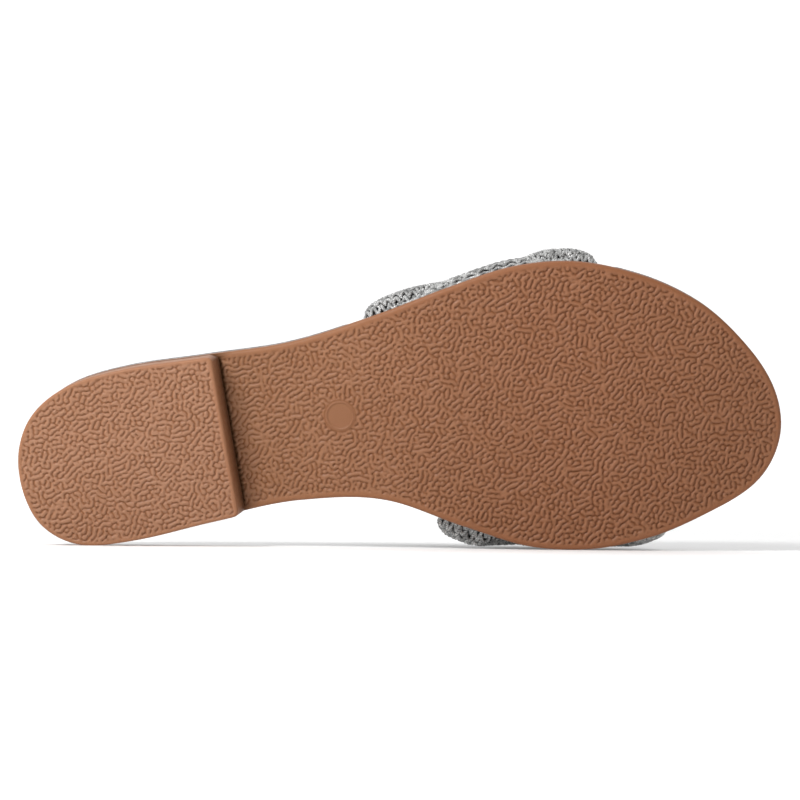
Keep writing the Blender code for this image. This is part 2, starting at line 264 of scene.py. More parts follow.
def grow_ridges(seed, pitch_wave):
    """A field of ridges about one wave apart, over a rectangle that holds the sole."""
    ratio = np.hypot(wave_x, wave_y) / pitch_wave
    lean = 1 + GRAIN_LEAN * np.cos(2 * (np.arctan2(wave_y, wave_x) - GRAIN_LEAN_ANGLE))
    start = np.random.default_rng(seed).standard_normal(GRAIN_CELLS)
    field = from_waves(np.fft.rfft2(start) * np.exp(-(((ratio - 1) / GRAIN_BAND) ** 2)) * lean)
    field *= GRAIN_START_HEIGHT / field.std()
    damping = 1 - GRAIN_STEP * (GRAIN_GROWTH - (ratio**2 - 1) ** 2)
    for _ in range(GRAIN_STEPS):
        grown = field + GRAIN_STEP * (GRAIN_DOTS * field**2 - field**3)
        field = from_waves(np.fft.rfft2(grown) / damping)
    return field / field.std()


print("the grain covers", [round(cells * GRAIN_CELL) for cells in GRAIN_CELLS], "mm")

# %% [markdown]
# The grooves are the valley lines of that field. Across a valley the field bends upwards most, and its
# slope divided by that bend tells how far away the bottom of the valley is. So all grooves of a piece get
# the same width, deep valley or shallow, and they join up around the worms. They are shallow in the waist
# and deepest at the toe, so each grain also keeps the depth at either end of the sole.

# %% Cut the grooves
BEND_LEAST = 0.25
BEND_FADE = 0.5
VALLEY_TOP = 0.1
VALLEY_FADE = 0.7
TINY = 1e-6
Grain = namedtuple("Grain", "wave groove depth")


def worm_grain(seed, pitch, groove_half_width, depth):
    """Ridges, grooves (0 on a crown, 1 in a groove) and the grooves' depth near the heel and at the toe."""
    pitch_wave = 2 * np.pi / pitch
    field = grow_ridges(seed, pitch_wave)
    spectrum = np.fft.rfft2(field)
    bend_x = from_waves(-(wave_x**2) * spectrum)
    bend_y = from_waves(-(wave_y**2) * spectrum)
    twist = from_waves(-wave_x * wave_y * spectrum)
    half = (bend_x - bend_y) / 2
    bend = np.maximum((bend_x + bend_y) / 2 + np.hypot(half, twist), TINY)
    across = np.arctan2(twist, half) / 2
    slope_x = from_waves(1j * wave_x * spectrum)
    slope_y = from_waves(1j * wave_y * spectrum)
    slope = slope_x * np.cos(across) + slope_y * np.sin(across)
    groove = np.exp(-((slope / bend / groove_half_width) ** 2))
    bent = smooth_step((bend / pitch_wave**2 - BEND_LEAST) / BEND_FADE)
    groove *= bent * smooth_step((VALLEY_TOP - field) / VALLEY_FADE)
    return Grain(field, groove, depth)


def read_field(field, points):
    """Value of a field at points of the sole, between its four nearest cells."""
    x = points[:, 0] / GRAIN_CELL
    y = GRAIN_CELLS[1] / 2 - points[:, 1] / GRAIN_CELL
    column = np.floor(x).astype(int)
    row = np.floor(y).astype(int)
    right = x - column
    below = y - row
    corner = [
        field[(column + i) % GRAIN_CELLS[0], (row + j) % GRAIN_CELLS[1]] for i in (0, 1) for j in (0, 1)
    ]
    near = corner[0] * (1 - below) + corner[1] * below
    far = corner[2] * (1 - below) + corner[3] * below
    return near * (1 - right) + far * right


sole_grain = worm_grain(seed=37, pitch=1.68, groove_half_width=0.28, depth=(0.34, 0.46))
heel_grain = worm_grain(seed=73, pitch=1.66, groove_half_width=0.25, depth=(0.35, 0.35))
print("share of groove:", sole_grain.groove.mean().round(2), heel_grain.groove.mean().round(2))

# %% [markdown]
# ## Short ways to make nodes
#
# A material is a graph of nodes. In the editor each node is added, filled in and linked by hand. These
# helpers do that in one line each, so the materials below read like recipes. Patterns are placed by the
# piece's own coordinates, or by a flat map in millimetres where they have to follow a surface.

# %% Helpers for materials
NOISE_LOW = 0.3
NOISE_HIGH = 0.7


def new_material(name):
    material = bpy.data.materials.new(name)
    material.use_nodes = True
    tree = material.node_tree
    return material, tree, tree.nodes["Principled BSDF"]


def link_or_set(tree, socket, value):
    if isinstance(value, bpy.types.NodeSocket):
        tree.links.new(value, socket)
    elif socket.type == "RGBA":
        socket.default_value = (*value, 1.0)
    else:
        socket.default_value = value


def add_node(tree, kind, **settings):
    """A node of a kind; settings fill its sockets and values, and a socket given as a value is linked."""
    node = tree.nodes.new(kind)
    for key, value in settings.items():
        if key in node.inputs:
            link_or_set(tree, node.inputs[key], value)
        else:
            setattr(node, key, value)
    return node


def blend_colours(tree, share, first, second, how="MIX"):
    """Mix of two colours by a share from 0 to 1."""
    mix = tree.nodes.new("ShaderNodeMix")
    mix.data_type = "RGBA"
    mix.blend_type = how
    for index, value in ((0, share), (6, first), (7, second)):
        link_or_set(tree, mix.inputs[index], value)
    return mix.outputs[2]


def maths(tree, operation, *values):
    node = add_node(tree, "ShaderNodeMath", operation=operation)
    for socket, value in zip(node.inputs, values):
        link_or_set(tree, socket, value)
    return node.outputs[0]


def between(tree, value, low, high, to_low, to_high):
    """A value carried from one range to another, and held at its ends."""
    node = tree.nodes.new("ShaderNodeMapRange")
    for index, entry in enumerate((value, low, high, to_low, to_high)):
        link_or_set(tree, node.inputs[index], entry)
    return node.outputs[0]


def surface_place(tree):
    return tree.nodes.new("ShaderNodeTexCoord").outputs["Object"]


def flat_place(tree):
    """The two parts of a place on the piece's flat map."""
    uv = tree.nodes.new("ShaderNodeTexCoord").outputs["UV"]
    parts = add_node(tree, "ShaderNodeSeparateXYZ", Vector=uv)
    return parts.outputs["X"], parts.outputs["Y"]


def noise(tree, place, per_metre, detail=3.0):
    node = add_node(tree, "ShaderNodeTexNoise", Vector=place, Scale=per_metre, Detail=detail)
    return node.outputs["Fac"]


def noise_between(tree, place, per_metre, to_low, to_high):
    """Noise carried from its usual range to another one."""
    return between(tree, noise(tree, place, per_metre), NOISE_LOW, NOISE_HIGH, to_low, to_high)


def bump(tree, height, distance, strength, under=None):
    node = add_node(tree, "ShaderNodeBump", Height=height, Distance=distance, Strength=strength)
    if under is not None:
        tree.links.new(under, node.inputs["Normal"])
    return node.outputs["Normal"]


def mesh_value(tree, name):
    return add_node(tree, "ShaderNodeAttribute", attribute_name=name).outputs["Fac"]


print("materials are made for Blender", bpy.app.version_string)

# %% [markdown]
# ## Rubber with a moulded grain
#
# Tan rubber is satin, not shiny. Its grooves are darker, partly from dust in them and partly as painted
# shade, its smooth margin is a touch more orange, and the corner in front of the heel is painted dark and
# dull as shade. Groove, margin and painted shade are stored on the mesh as attributes, so the colour
# follows the relief exactly. From the ball back to the heel the rubber is painted paler, as a painted sheen
# of the lamp on the heel's side. Fine noise breaks up the gloss.

# %% Tan rubber
CROWN_TAN = np.array((0.260, 0.111, 0.053))
GROOVE_TAN = np.array((0.162, 0.051, 0.014))
MARGIN_TAN = np.array((0.250, 0.098, 0.042))
PAINTED_SHADE = (0.060, 0.026, 0.011)
PAINTED_SHEEN_TINT = (1.07, 1.20, 1.28)
PAINTED_SHEEN_FULL_AT = -0.065
PAINTED_SHEEN_GONE_AT = 0.045
CLOUDS_PER_METRE = 45.0
CLOUD_SHARE = 0.16
GLOSS_PER_METRE = 700.0
RUBBER_ROUGHNESS = (0.44, 0.60)
RUBBER_GLOSS = 0.26
PORES_PER_METRE = 2600.0
PORE_DEPTH = 0.00006
PORE_STRENGTH = 0.6


def tan_rubber(name, tint):
    material, tree, shader = new_material(name)
    place = surface_place(tree)
    crown, groove, margin = CROWN_TAN * tint, GROOVE_TAN * tint, MARGIN_TAN * tint
    # Grooves take a darker tan: dust in them, and painted shade in the hollows.
    colour = blend_colours(tree, mesh_value(tree, "groove"), crown, groove)
    colour = blend_colours(tree, mesh_value(tree, "margin"), colour, margin)
    cloudy = noise_between(tree, place, CLOUDS_PER_METRE, 0.0, CLOUD_SHARE)
    colour = blend_colours(tree, cloudy, colour, groove)
    # Painted sheen: towards the heel the rubber is painted paler and less saturated, as the key lamp's
    # sheen.
    towards_toe = add_node(tree, "ShaderNodeSeparateXYZ", Vector=place).outputs["X"]
    painted_sheen = between(tree, towards_toe, PAINTED_SHEEN_FULL_AT, PAINTED_SHEEN_GONE_AT, 1.0, 0.0)
    colour = blend_colours(tree, painted_sheen, colour, PAINTED_SHEEN_TINT, "MULTIPLY")
    # Painted shade: the corner in front of the heel is darkened and loses its gloss.
    painted_shade = mesh_value(tree, "painted_shade")
    colour = blend_colours(tree, painted_shade, colour, PAINTED_SHADE)
    tree.links.new(colour, shader.inputs["Base Color"])
    dull = noise_between(tree, place, GLOSS_PER_METRE, *RUBBER_ROUGHNESS)
    tree.links.new(dull, shader.inputs["Roughness"])
    tree.links.new(between(tree, painted_shade, 0.0, 1.0, RUBBER_GLOSS, 0.0), shader.inputs["Specular IOR Level"])
    pores = bump(tree, noise(tree, place, PORES_PER_METRE), PORE_DEPTH, PORE_STRENGTH)
    tree.links.new(pores, shader.inputs["Normal"])
    return material


outsole_rubber = tan_rubber("tan_rubber_grained", tint=(1.0, 1.0, 1.0))
heel_rubber = tan_rubber("heel_rubber_grained", tint=(1.155, 1.205, 1.34))
print("rubber materials:", outsole_rubber.name, heel_rubber.name)

# %% [markdown]
# ## A slab of rubber with a grained tread
#
# Outsole and heel are made alike. A fine square grid is laid over the outline and what lies outside the
# flat of the tread is cut away. The ragged border is drawn to the outline, and its edge is then extruded
# ring by ring: round the lower edge, up the wall and over the upper edge. The last ring is filled. The
# grain is cut into the flat by moving the grid's points up into the rubber.
#
# A displacement modifier could do the same from a texture, but then the grooves could not stop short of
# the margin so neatly, and colour and relief would come from two places.

# %% Tools for a grained slab
BORDER_WELD = 0.06


def loop_normals(loop):
    """Directions that point out of a closed line that runs anticlockwise."""
    tangent = np.roll(loop, -1, axis=0) - np.roll(loop, 1, axis=0)
    tangent /= np.linalg.norm(tangent, axis=1)[:, None]
    return np.stack((tangent[:, 1], -tangent[:, 0]), axis=1)


def depth_inside(loop, points):
    """How far inside a closed line each point lies, and the index of the line's nearest point."""
    tree = KDTree(len(loop))
    for index, (x, y) in enumerate(loop):
        tree.insert((x, y, 0), index)
    tree.balance()
    nearest = np.array([tree.find((x, y, 0))[1] for x, y in points])
    return -((points - loop[nearest]) * loop_normals(loop)[nearest]).sum(axis=1), nearest


def grid_over(columns, rows):
    """A sheet of square cells with its lines at the given columns and rows."""
    shape = bmesh.new()
    bmesh.ops.create_grid(shape, x_segments=len(columns) - 1, y_segments=len(rows) - 1, size=1)
    share = (np.array([vert.co[:2] for vert in shape.verts]) + 1) / 2
    column = np.rint(share[:, 0] * (len(columns) - 1)).astype(int)
    row = np.rint(share[:, 1] * (len(rows) - 1)).astype(int)
    points = np.stack((columns[column], rows[row], np.zeros(len(column))), axis=1)
    set_points(shape, points)
    return shape


def trim_to_loop(shape, loop, inset):
    """Cuts a sheet down to what lies deeper than inset inside a line, and draws its border to there.

    Every vertex keeps the index of its nearest point of the line in the layer "home".
    """
    home = shape.verts.layers.int.new("home")
    points = np.array([vert.co[:2] for vert in shape.verts])
    depth, nearest = depth_inside(loop, points)
    for vert, index in zip(shape.verts, nearest):
        vert[home] = int(index)
    outside = [vert for vert, inside in zip(shape.verts, depth) if inside < inset]
    bmesh.ops.delete(shape, geom=outside, context="VERTS")
    loose = [vert for vert in shape.verts if not vert.link_faces]
    bmesh.ops.delete(shape, geom=loose, context="VERTS")
    border = [vert for vert in shape.verts if vert.is_boundary]
    flat_edge = loop - loop_normals(loop) * inset
    for vert in border:
        vert.co.xy = flat_edge[vert[home]]
    bmesh.ops.remove_doubles(shape, verts=border, dist=BORDER_WELD)
    return home


def extrude_ring(shape, border, place_of):
    """Extrudes an open border by one ring, whose vertices go to place_of their home index."""
    home = shape.verts.layers.int["home"]
    extruded = bmesh.ops.extrude_edge_only(shape, edges=border)["geom"]
    for vert in extruded:
        if isinstance(vert, bmesh.types.BMVert):
            vert.co = place_of[vert[home]]
    return [edge for edge in extruded if isinstance(edge, bmesh.types.BMEdge)]


ball_depth = depth_inside(sole_loop, np.array([BALL_SPOT[:2]]))[0][0]
print("the ball's spot lies", round(ball_depth, 1), "mm inside the sole's edge")

# %% [markdown]
# The rim is a list of rings: how far each lies inside the outline, and how high over the ground face. A
# quarter round is four rings, so the lower edge catches a soft highlight. What differs between outsole
# and heel, such as the height of the tread and its grain, is handed to the slab as functions.

# %% The rim's rings and the slab
RIM_RINGS = 4


def rim_rings(lower_round, upper_round, thickness):
    rings = []
    for angle in np.linspace(0, math.pi / 2, RIM_RINGS + 1)[1:]:
        rings.append((lower_round * (1 - math.sin(angle)), lower_round * (1 - math.cos(angle))))
    for angle in np.linspace(0, math.pi / 2, RIM_RINGS):
        inset = upper_round * (1 - math.cos(angle))
        rings.append((inset, thickness - upper_round * (1 - math.sin(angle))))
    return rings


def grained_slab(shape, loop, ground_of, lean_of, grain_of, painted_shade_of, lower_round, upper_round, thickness):
    """Turns a sheet into a slab with a grained tread.

    ground_of gives the height of the tread, lean_of the shift of the edge at a height, grain_of the
    groove, the relief and the margin at points of the tread, and painted_shade_of the painted shade at
    points and a height.
    """
    home = trim_to_loop(shape, loop, lower_round)
    groove_layer = shape.verts.layers.float.new("groove")
    margin_layer = shape.verts.layers.float.new("margin")
    painted_shade_layer = shape.verts.layers.float.new("painted_shade")
    border = [edge for edge in shape.edges if edge.is_boundary]
    points = np.array([vert.co[:2] for vert in shape.verts])
    nearest = [vert[home] for vert in shape.verts]
    normals = loop_normals(loop)
    inside = -((points - loop[nearest]) * normals[nearest]).sum(axis=1)
    groove, relief, margin = grain_of(points, inside)
    set_points(shape, np.column_stack((points, ground_of(points[:, 0]) + relief)))
    for vert, groove_share, margin_share, painted_shade in zip(shape.verts, groove, margin, painted_shade_of(points, 0.0)):
        vert[groove_layer] = groove_share
        vert[margin_layer] = margin_share
        vert[painted_shade_layer] = painted_shade
    for inset, height in rim_rings(lower_round, upper_round, thickness):
        ring = loop - normals * inset + lean_of(height)
        border = extrude_ring(shape, border, np.column_stack((ring, ground_of(ring[:, 0]) + height)))
        painted_shade = painted_shade_of(ring, height)
        for vert in {vert for edge in border for vert in edge.verts}:
            vert[groove_layer] = 0.0
            vert[margin_layer] = 1.0
            vert[painted_shade_layer] = painted_shade[vert[home]]
    bmesh.ops.triangle_fill(shape, use_beauty=True, edges=border)
    bmesh.ops.triangulate(shape, faces=[face for face in shape.faces if len(face.verts) > 4])


print("one rim takes", 2 * RIM_RINGS, "rings")

# %% [markdown]
# ## The outsole
#
# The tread of the outsole carries the grain from the heel's breast to the toe, with a smooth margin. The
# worms are rounded between their grooves. In the waist there is a small round medallion: a smooth disc,
# sunk a little and dusty, with a fine raised ring and a thin line of painted shade round its rim. Close in
# front of the heel the tread is darkened with painted shade.

# %% Relief and dirt of the outsole
GRAIN_START = 62.0
GRAIN_FADE = 0.8
WORM_HEIGHT = 1.2
CROWN_DEPTH = 0.24
OUTSOLE_LOWER_ROUND = 1.1
MARGIN_HEEL_END = 0.5
MARGIN_TOE_END = 0.2
MARGIN_FADE = 0.8
MEDALLION = np.array((104.4, -10.2))
MEDALLION_RADIUS = 5.1
MEDALLION_FADE = 0.5
MEDALLION_SINK = 0.16
MEDALLION_STEP = 0.35
MEDALLION_DUST = 0.3
RING_INSET = 0.7
RING_WIDTH = 0.42
RING_HEIGHT = 0.36
RIM_SHADE = 0.8
RIM_SHADE_WIDTH = 0.3
BREAST_OUTER = 66.4
BREAST_INNER = 71.4
PAINTED_SHADE_REACH = 1.1
PAINTED_SHADE_HEIGHT = 1.0


def tread_relief(grain, points, faded):
    """Groove and depth of the relief at points, where faded is 1 on the tread and 0 on its margin."""
    groove = read_field(grain.groove, points) * faded
    crown = smooth_step((read_field(grain.wave, points) + WORM_HEIGHT) / (2 * WORM_HEIGHT))
    depth = np.interp(points[:, 0], (GRAIN_START, SOLE_LENGTH), grain.depth)
    return groove, depth * groove + CROWN_DEPTH * (1 - crown) * faded


def outsole_grain(points, inside):
    margin_width = np.interp(points[:, 0], (GRAIN_START, SOLE_LENGTH), (MARGIN_HEEL_END, MARGIN_TOE_END))
    on_tread = inside - OUTSOLE_LOWER_ROUND - margin_width
    from_middle = np.linalg.norm(points - MEDALLION, axis=1)
    faded = smooth_step(on_tread / GRAIN_FADE)
    faded *= smooth_step((from_middle - MEDALLION_RADIUS) / MEDALLION_FADE)
    faded *= points[:, 0] > GRAIN_START
    groove, relief = tread_relief(sole_grain, points, faded)
    ring = np.clip(1 - np.abs(from_middle - MEDALLION_RADIUS + RING_INSET) / RING_WIDTH, 0, 1)
    sunk = MEDALLION_SINK * smooth_step((MEDALLION_RADIUS - from_middle) / MEDALLION_STEP)
    relief = relief + sunk - RING_HEIGHT * smooth_step(ring)
    # A thin line of painted shade round the rim of the sunk disc.
    rim_shade = RIM_SHADE * np.exp(-(((from_middle - MEDALLION_RADIUS) / RIM_SHADE_WIDTH) ** 2))
    groove = np.maximum(groove, rim_shade)
    groove = np.maximum(groove, MEDALLION_DUST * (from_middle < MEDALLION_RADIUS))
    return groove, relief, 1 - smooth_step(on_tread / MARGIN_FADE)


def ahead_of_breast(points):
    """How far in front of the heel's straight breast each point lies."""
    outer = sole_edge(BREAST_OUTER, "outer")
    inner = sole_edge(BREAST_INNER, "inner")
    return points[:, 0] - np.interp(points[:, 1], (outer, inner), (BREAST_OUTER, BREAST_INNER))


# Painted shade on the tread just in front of the heel's breast.
def outsole_painted_shade(points, height):
    return smooth_step((PAINTED_SHADE_REACH - ahead_of_breast(points)) / PAINTED_SHADE_REACH) * (height < PAINTED_SHADE_HEIGHT)


print("the medallion lies", round(ahead_of_breast(MEDALLION[None, :])[0], 1), "mm in front of the heel")

# %% [markdown]
# The fine grid makes a third of a million triangles, most of them in flat places. A decimate modifier
# joins those, and leaves the medallion alone, where each facet would show. Under the heel the tread is
# hidden, so the grid's cells there are long and few.

# %% Outsole
TREAD_CELL = 0.28
HIDDEN_CELL = 3.0
SHEET_MARGIN = 1.0
TREAD_SIDES = (-57.0, 39.0)
TREAD_TRIANGLES = 185000
OUTSOLE_UPPER_ROUND = 0.6
MEDALLION_KEEP = 0.6


def thin_out(piece, triangles, keep):
    """Joins small faces where a piece is nearly flat, until it has no more than so many triangles.

    The vertices in keep stay as they are.
    """
    kept = piece.vertex_groups.new(name="keep")
    kept.add(keep, 1.0, "REPLACE")
    thin = piece.modifiers.new("thin_out", "DECIMATE")
    thin.vertex_group = kept.name
    thin.invert_vertex_group = True
    thin.ratio = triangles / len(piece.data.loop_triangles)
    finished = piece.evaluated_get(bpy.context.evaluated_depsgraph_get())
    fine = piece.data
    piece.data = bpy.data.meshes.new_from_object(finished)
    piece.modifiers.clear()
    piece.vertex_groups.clear()
    bpy.data.meshes.remove(fine)
    piece.data.calc_loop_triangles()
    print(piece.name, "is thinned to", len(piece.data.loop_triangles), "triangles")


hidden_columns = np.arange(-SHEET_MARGIN, GRAIN_START, HIDDEN_CELL)
grained_columns = np.arange(GRAIN_START, SOLE_LENGTH + SHEET_MARGIN, TREAD_CELL)
outsole_shape = grid_over(
    np.concatenate((hidden_columns, grained_columns)), np.arange(*TREAD_SIDES, TREAD_CELL)
)
grained_slab(
    outsole_shape,
    sole_loop,
    ground_of=tread_height,
    lean_of=lambda height: 0.0,
    grain_of=outsole_grain,
    painted_shade_of=outsole_painted_shade,
    lower_round=OUTSOLE_LOWER_ROUND,
    upper_round=OUTSOLE_UPPER_ROUND,
    thickness=OUTSOLE_THICKNESS,
)
outsole_shape.verts.index_update()
inside_outsole = tread_height(MEDALLION[0]) + OUTSOLE_THICKNESS / 2
medallion_verts = [
    vert.index
    for vert in outsole_shape.verts
    if math.dist(vert.co.xy, MEDALLION) < MEDALLION_RADIUS + MEDALLION_KEEP and vert.co.z < inside_outsole
]
outsole = finish_piece("grained_outsole", outsole_shape, "outsole", outsole_rubber)
thin_out(outsole, TREAD_TRIANGLES, medallion_verts)

# %% [markdown]
# ## The heel
#
# The low heel has the sole's edge round the back and a straight breast in front, skewed to the foot. The
# breast leans back towards the ground. Its corners are softened, as a moulded block's are, and the top of
# the breast, in the corner where it meets the outsole, is darkened with painted shade.

# %% Heel
BREAST_DRAFT = 1.4
BREAST_FACING = 0.9
HEEL_CELL = 0.24
HEEL_SHEET_FRONT = 72.0
HEEL_SIDES = (-34.0, 29.0)
HEEL_EDGE_SAMPLES = 300
HEEL_LOWER_ROUND = 0.8
HEEL_UPPER_ROUND = 0.6
HEEL_CORNER_SOFTNESS = 1.1
HEEL_PAINTED_SHADE_FROM = 0.6
BREAST_PAINTED_SHADE_REACH = 3.0
BREAST_PAINTED_SHADE_FADE = 2.0

heel_outer = np.linspace(BREAST_OUTER - BREAST_DRAFT, 0, HEEL_EDGE_SAMPLES)
heel_inner = np.linspace(0, BREAST_INNER - BREAST_DRAFT, HEEL_EDGE_SAMPLES)[1:]
heel_outer_edge = np.stack((heel_outer, sole_edge(heel_outer, "outer")), axis=1)[::-1]
heel_inner_edge = np.stack((heel_inner, sole_edge(heel_inner, "inner")), axis=1)[::-1]
heel_loop = even_loop(np.concatenate((heel_outer_edge, heel_inner_edge)), EDGE_STEP, HEEL_CORNER_SOFTNESS)
breast_share = smooth_step(loop_normals(heel_loop)[:, 0] / BREAST_FACING)


def breast_lean(height):
    shift = BREAST_DRAFT * height / HEEL_HEIGHT * breast_share
    return np.stack((shift, np.zeros_like(shift)), axis=1)


def heel_tread(points, inside):
    on_tread = inside - HEEL_LOWER_ROUND
    groove, relief = tread_relief(heel_grain, points, smooth_step(on_tread / GRAIN_FADE))
    return groove, relief, 1 - smooth_step(on_tread / MARGIN_FADE)


# Painted shade on the top of the breast, where it meets the outsole.
def heel_painted_shade(points, height):
    high = smooth_step((height / HEEL_HEIGHT - HEEL_PAINTED_SHADE_FROM) / (1 - HEEL_PAINTED_SHADE_FROM))
    return high * smooth_step((ahead_of_breast(points) + BREAST_PAINTED_SHADE_REACH) / BREAST_PAINTED_SHADE_FADE)


heel_shape = grid_over(
    np.arange(-SHEET_MARGIN, HEEL_SHEET_FRONT, HEEL_CELL), np.arange(*HEEL_SIDES, HEEL_CELL)
)
grained_slab(
    heel_shape,
    heel_loop,
    ground_of=np.zeros_like,
    lean_of=breast_lean,
    grain_of=heel_tread,
    painted_shade_of=heel_painted_shade,
    lower_round=HEEL_LOWER_ROUND,
    upper_round=HEEL_UPPER_ROUND,
    thickness=HEEL_HEIGHT - GAP,
)
finish_piece("grained_heel", heel_shape, "heel", heel_rubber)

# %% [markdown]
# ## The strap's lining as a map
#
# The strap arches over the foot. Its lining is described by three sections over the foot, at its back
# edge, its middle and its front edge: where each root stands at the sole's edge, how high it rises and
# how far its sides swell. All of the strap is placed on this lining by two numbers, along (from the outer
# root over the foot to the inner one) and place (from the back edge to the front edge). The lining is
# worked out once on a fine grid of these two, and everything else just looks it up.

# %% Map of the lining
WALL_THICKNESS = 2.0
INSOLE_NOTCH = 2.0
STRAP_WIDTH = 72.0
STRAP_LENGTH = 142.0
MAP_ALONG = np.linspace(-0.03, 1.03, 425)
MAP_PLACE = np.linspace(-0.12, 1.12, 125)
Rib = namedtuple("Rib", "place outer_station inner_station instep outer_swell inner_swell")
RIBS = (
    Rib(0.0, 115.0, 135.5, 56.0, 0.5, 4.0),
    Rib(0.5, 151.5, 170.0, 49.0, -1.5, 0.8),
    Rib(1.0, 188.0, 204.5, 41.0, 0.5, -3.0),
)
Fold = namedtuple("Fold", "across rise")
ARCH = (
    Fold(-1.00, 0.00),
    Fold(-1.00, 0.10),
    Fold(-0.93, 0.42),
    Fold(-0.66, 0.83),
    Fold(0.08, 1.00),
    Fold(0.74, 0.78),
    Fold(0.99, 0.40),
    Fold(1.00, 0.10),
    Fold(1.00, 0.00),
)


def rib_value(place, column):
    return curve_through([rib.place for rib in RIBS], [getattr(rib, column) for rib in RIBS], place)


def strap_root(place, side):
    """Where the lining turns up at the insole's edge."""
    station = rib_value(place, side + "_station")
    inwards = INSOLE_NOTCH - GAP
    edge = sole_edge(station, side) + (inwards if side == "outer" else -inwards)
    return np.array((station, edge, seat_height(station) + WALL_THICKNESS))


def lining_section(place, along):
    """Points of the lining at one place between its edges; past a root they run straight down."""
    outer = strap_root(place, "outer")
    inner = strap_root(place, "inner")
    half = (inner - outer) / 2
    span = np.linalg.norm(half)
    instep = rib_value(place, "instep")
    folds = np.array(ARCH) * (span, instep)
    steps = np.linalg.norm(np.diff(folds, axis=0), axis=1)
    knots = np.concatenate(([0.0], np.cumsum(steps))) / steps.sum()
    held = np.clip(along, 0, 1)
    across = curve_through(knots, [fold.across for fold in ARCH], held)
    rise = curve_through(knots, [fold.rise for fold in ARCH], held)
    swell = np.where(across > 0, rib_value(place, "inner_swell"), rib_value(place, "outer_swell"))
    across = across + across * swell / span * (4 * rise * (1 - rise)) ** 2
    points = (outer + inner) / 2 + half * across[:, None]
    points[:, 2] += rise * instep - np.abs(along - held) * STRAP_LENGTH
    return points


lining_map = np.stack([lining_section(place, MAP_ALONG) for place in MAP_PLACE])
lining_out = np.cross(np.gradient(lining_map, axis=0), np.gradient(lining_map, axis=1))
lining_out /= np.linalg.norm(lining_out, axis=2)[:, :, None]


def read_map(table, rows, columns, row_at, column_at):
    """Value of a table of vectors between its rows and columns."""
    row = (row_at - rows[0]) / (rows[1] - rows[0])
    column = (column_at - columns[0]) / (columns[1] - columns[0])
    i = np.clip(np.floor(row).astype(int), 0, len(rows) - 2)
    j = np.clip(np.floor(column).astype(int), 0, len(columns) - 2)
    down = (row - i)[..., None]
    right = (column - j)[..., None]
    upper = table[i, j] * (1 - right) + table[i, j + 1] * right
    lower = table[i + 1, j] * (1 - right) + table[i + 1, j + 1] * right
    return upper * (1 - down) + lower * down


def on_lining(along, place, lift):
    """A point at a height over the lining."""
    point = read_map(lining_map, MAP_PLACE, MAP_ALONG, place, along)
    out = read_map(lining_out, MAP_PLACE, MAP_ALONG, place, along)
    return point + out * np.asarray(lift)[..., None]


print("the strap rises to", lining_map[:, :, 2].max().round(1), "mm over the ground")

# %% [markdown]
# ## Cloth
#
# Lining, stuffing and footbed are plain weaves of different greys. Real threads would be far too fine to
# model, so they are two crossing waves in the bump and the colour, laid out on the piece's flat map in
# millimetres. Cells of noise turn into the small bright specks of a glitter cloth.

# %% Cloth materials
SPECK_SHARE = 0.5
SPECK_TONES = (0.72, 0.98)
SPECK_SILVER = (0.85, 0.85, 0.86)
CLOTH_CLOUDS_PER_METRE = 160.0
CLOTH_CLOUD_SHARE = 0.35
THREAD_DEPTH = 0.00012
THREAD_STRENGTH = 0.8
FUZZ_PER_METRE = 2200.0
FUZZ_DEPTH = 0.0001
FUZZ_STRENGTH = 0.6


def cloth(name, light, dark, thread, rough, metal, glint):
    """Plain weave: two crossing sets of threads in the bump, with cloudy colour and small bright specks."""
    material, tree, shader = new_material(name)
    place = surface_place(tree)
    turns = [maths(tree, "MULTIPLY", part, 2 * math.pi / thread) for part in flat_place(tree)]
    weave = maths(tree, "MULTIPLY", *[maths(tree, "SINE", turn) for turn in turns])
    specks = add_node(tree, "ShaderNodeTexVoronoi", Vector=place, Scale=1000 / (SPECK_SHARE * thread))
    speck_tone = add_node(tree, "ShaderNodeSeparateColor", Color=specks.outputs["Color"]).outputs[0]
    sparkle = between(tree, speck_tone, *SPECK_TONES, 0.0, glint)
    colour = blend_colours(tree, between(tree, weave, -1.0, 1.0, 0.0, 1.0), dark, light)
    cloudy = noise_between(tree, place, CLOTH_CLOUDS_PER_METRE, 0.0, CLOTH_CLOUD_SHARE)
    colour = blend_colours(tree, cloudy, colour, dark)
    colour = blend_colours(tree, sparkle, colour, SPECK_SILVER)
    tree.links.new(colour, shader.inputs["Base Color"])
    shader.inputs["Roughness"].default_value = rough
    shader.inputs["Metallic"].default_value = metal
    threads = bump(tree, weave, THREAD_DEPTH, THREAD_STRENGTH)
    fuzz = bump(tree, noise(tree, place, FUZZ_PER_METRE), FUZZ_DEPTH, FUZZ_STRENGTH, under=threads)
    tree.links.new(fuzz, shader.inputs["Normal"])
    return material


lining_cloth = cloth(
    "lining_cloth",
    light=(0.090, 0.090, 0.093),
    dark=(0.034, 0.034, 0.036),
    thread=0.9,
    rough=0.75,
    metal=0.0,
    glint=0.05,
)
# Near-black stuffing: its own dark cloth, and painted shade in the holes of the knit.
stuffing_and_painted_shade = cloth(
    "stuffing_and_painted_shade",
    light=(0.050, 0.050, 0.052),
    dark=(0.016, 0.016, 0.017),
    thread=0.9,
    rough=0.75,
    metal=0.0,
    glint=0.0,
)
footbed_cloth = cloth(
    "footbed_cloth",
    light=(0.33, 0.33, 0.33),
    dark=(0.13, 0.13, 0.13),
    thread=0.8,
    rough=0.55,
    metal=0.25,
    glint=0.6,
)
print("cloths:", lining_cloth.name, stuffing_and_painted_shade.name, footbed_cloth.name)

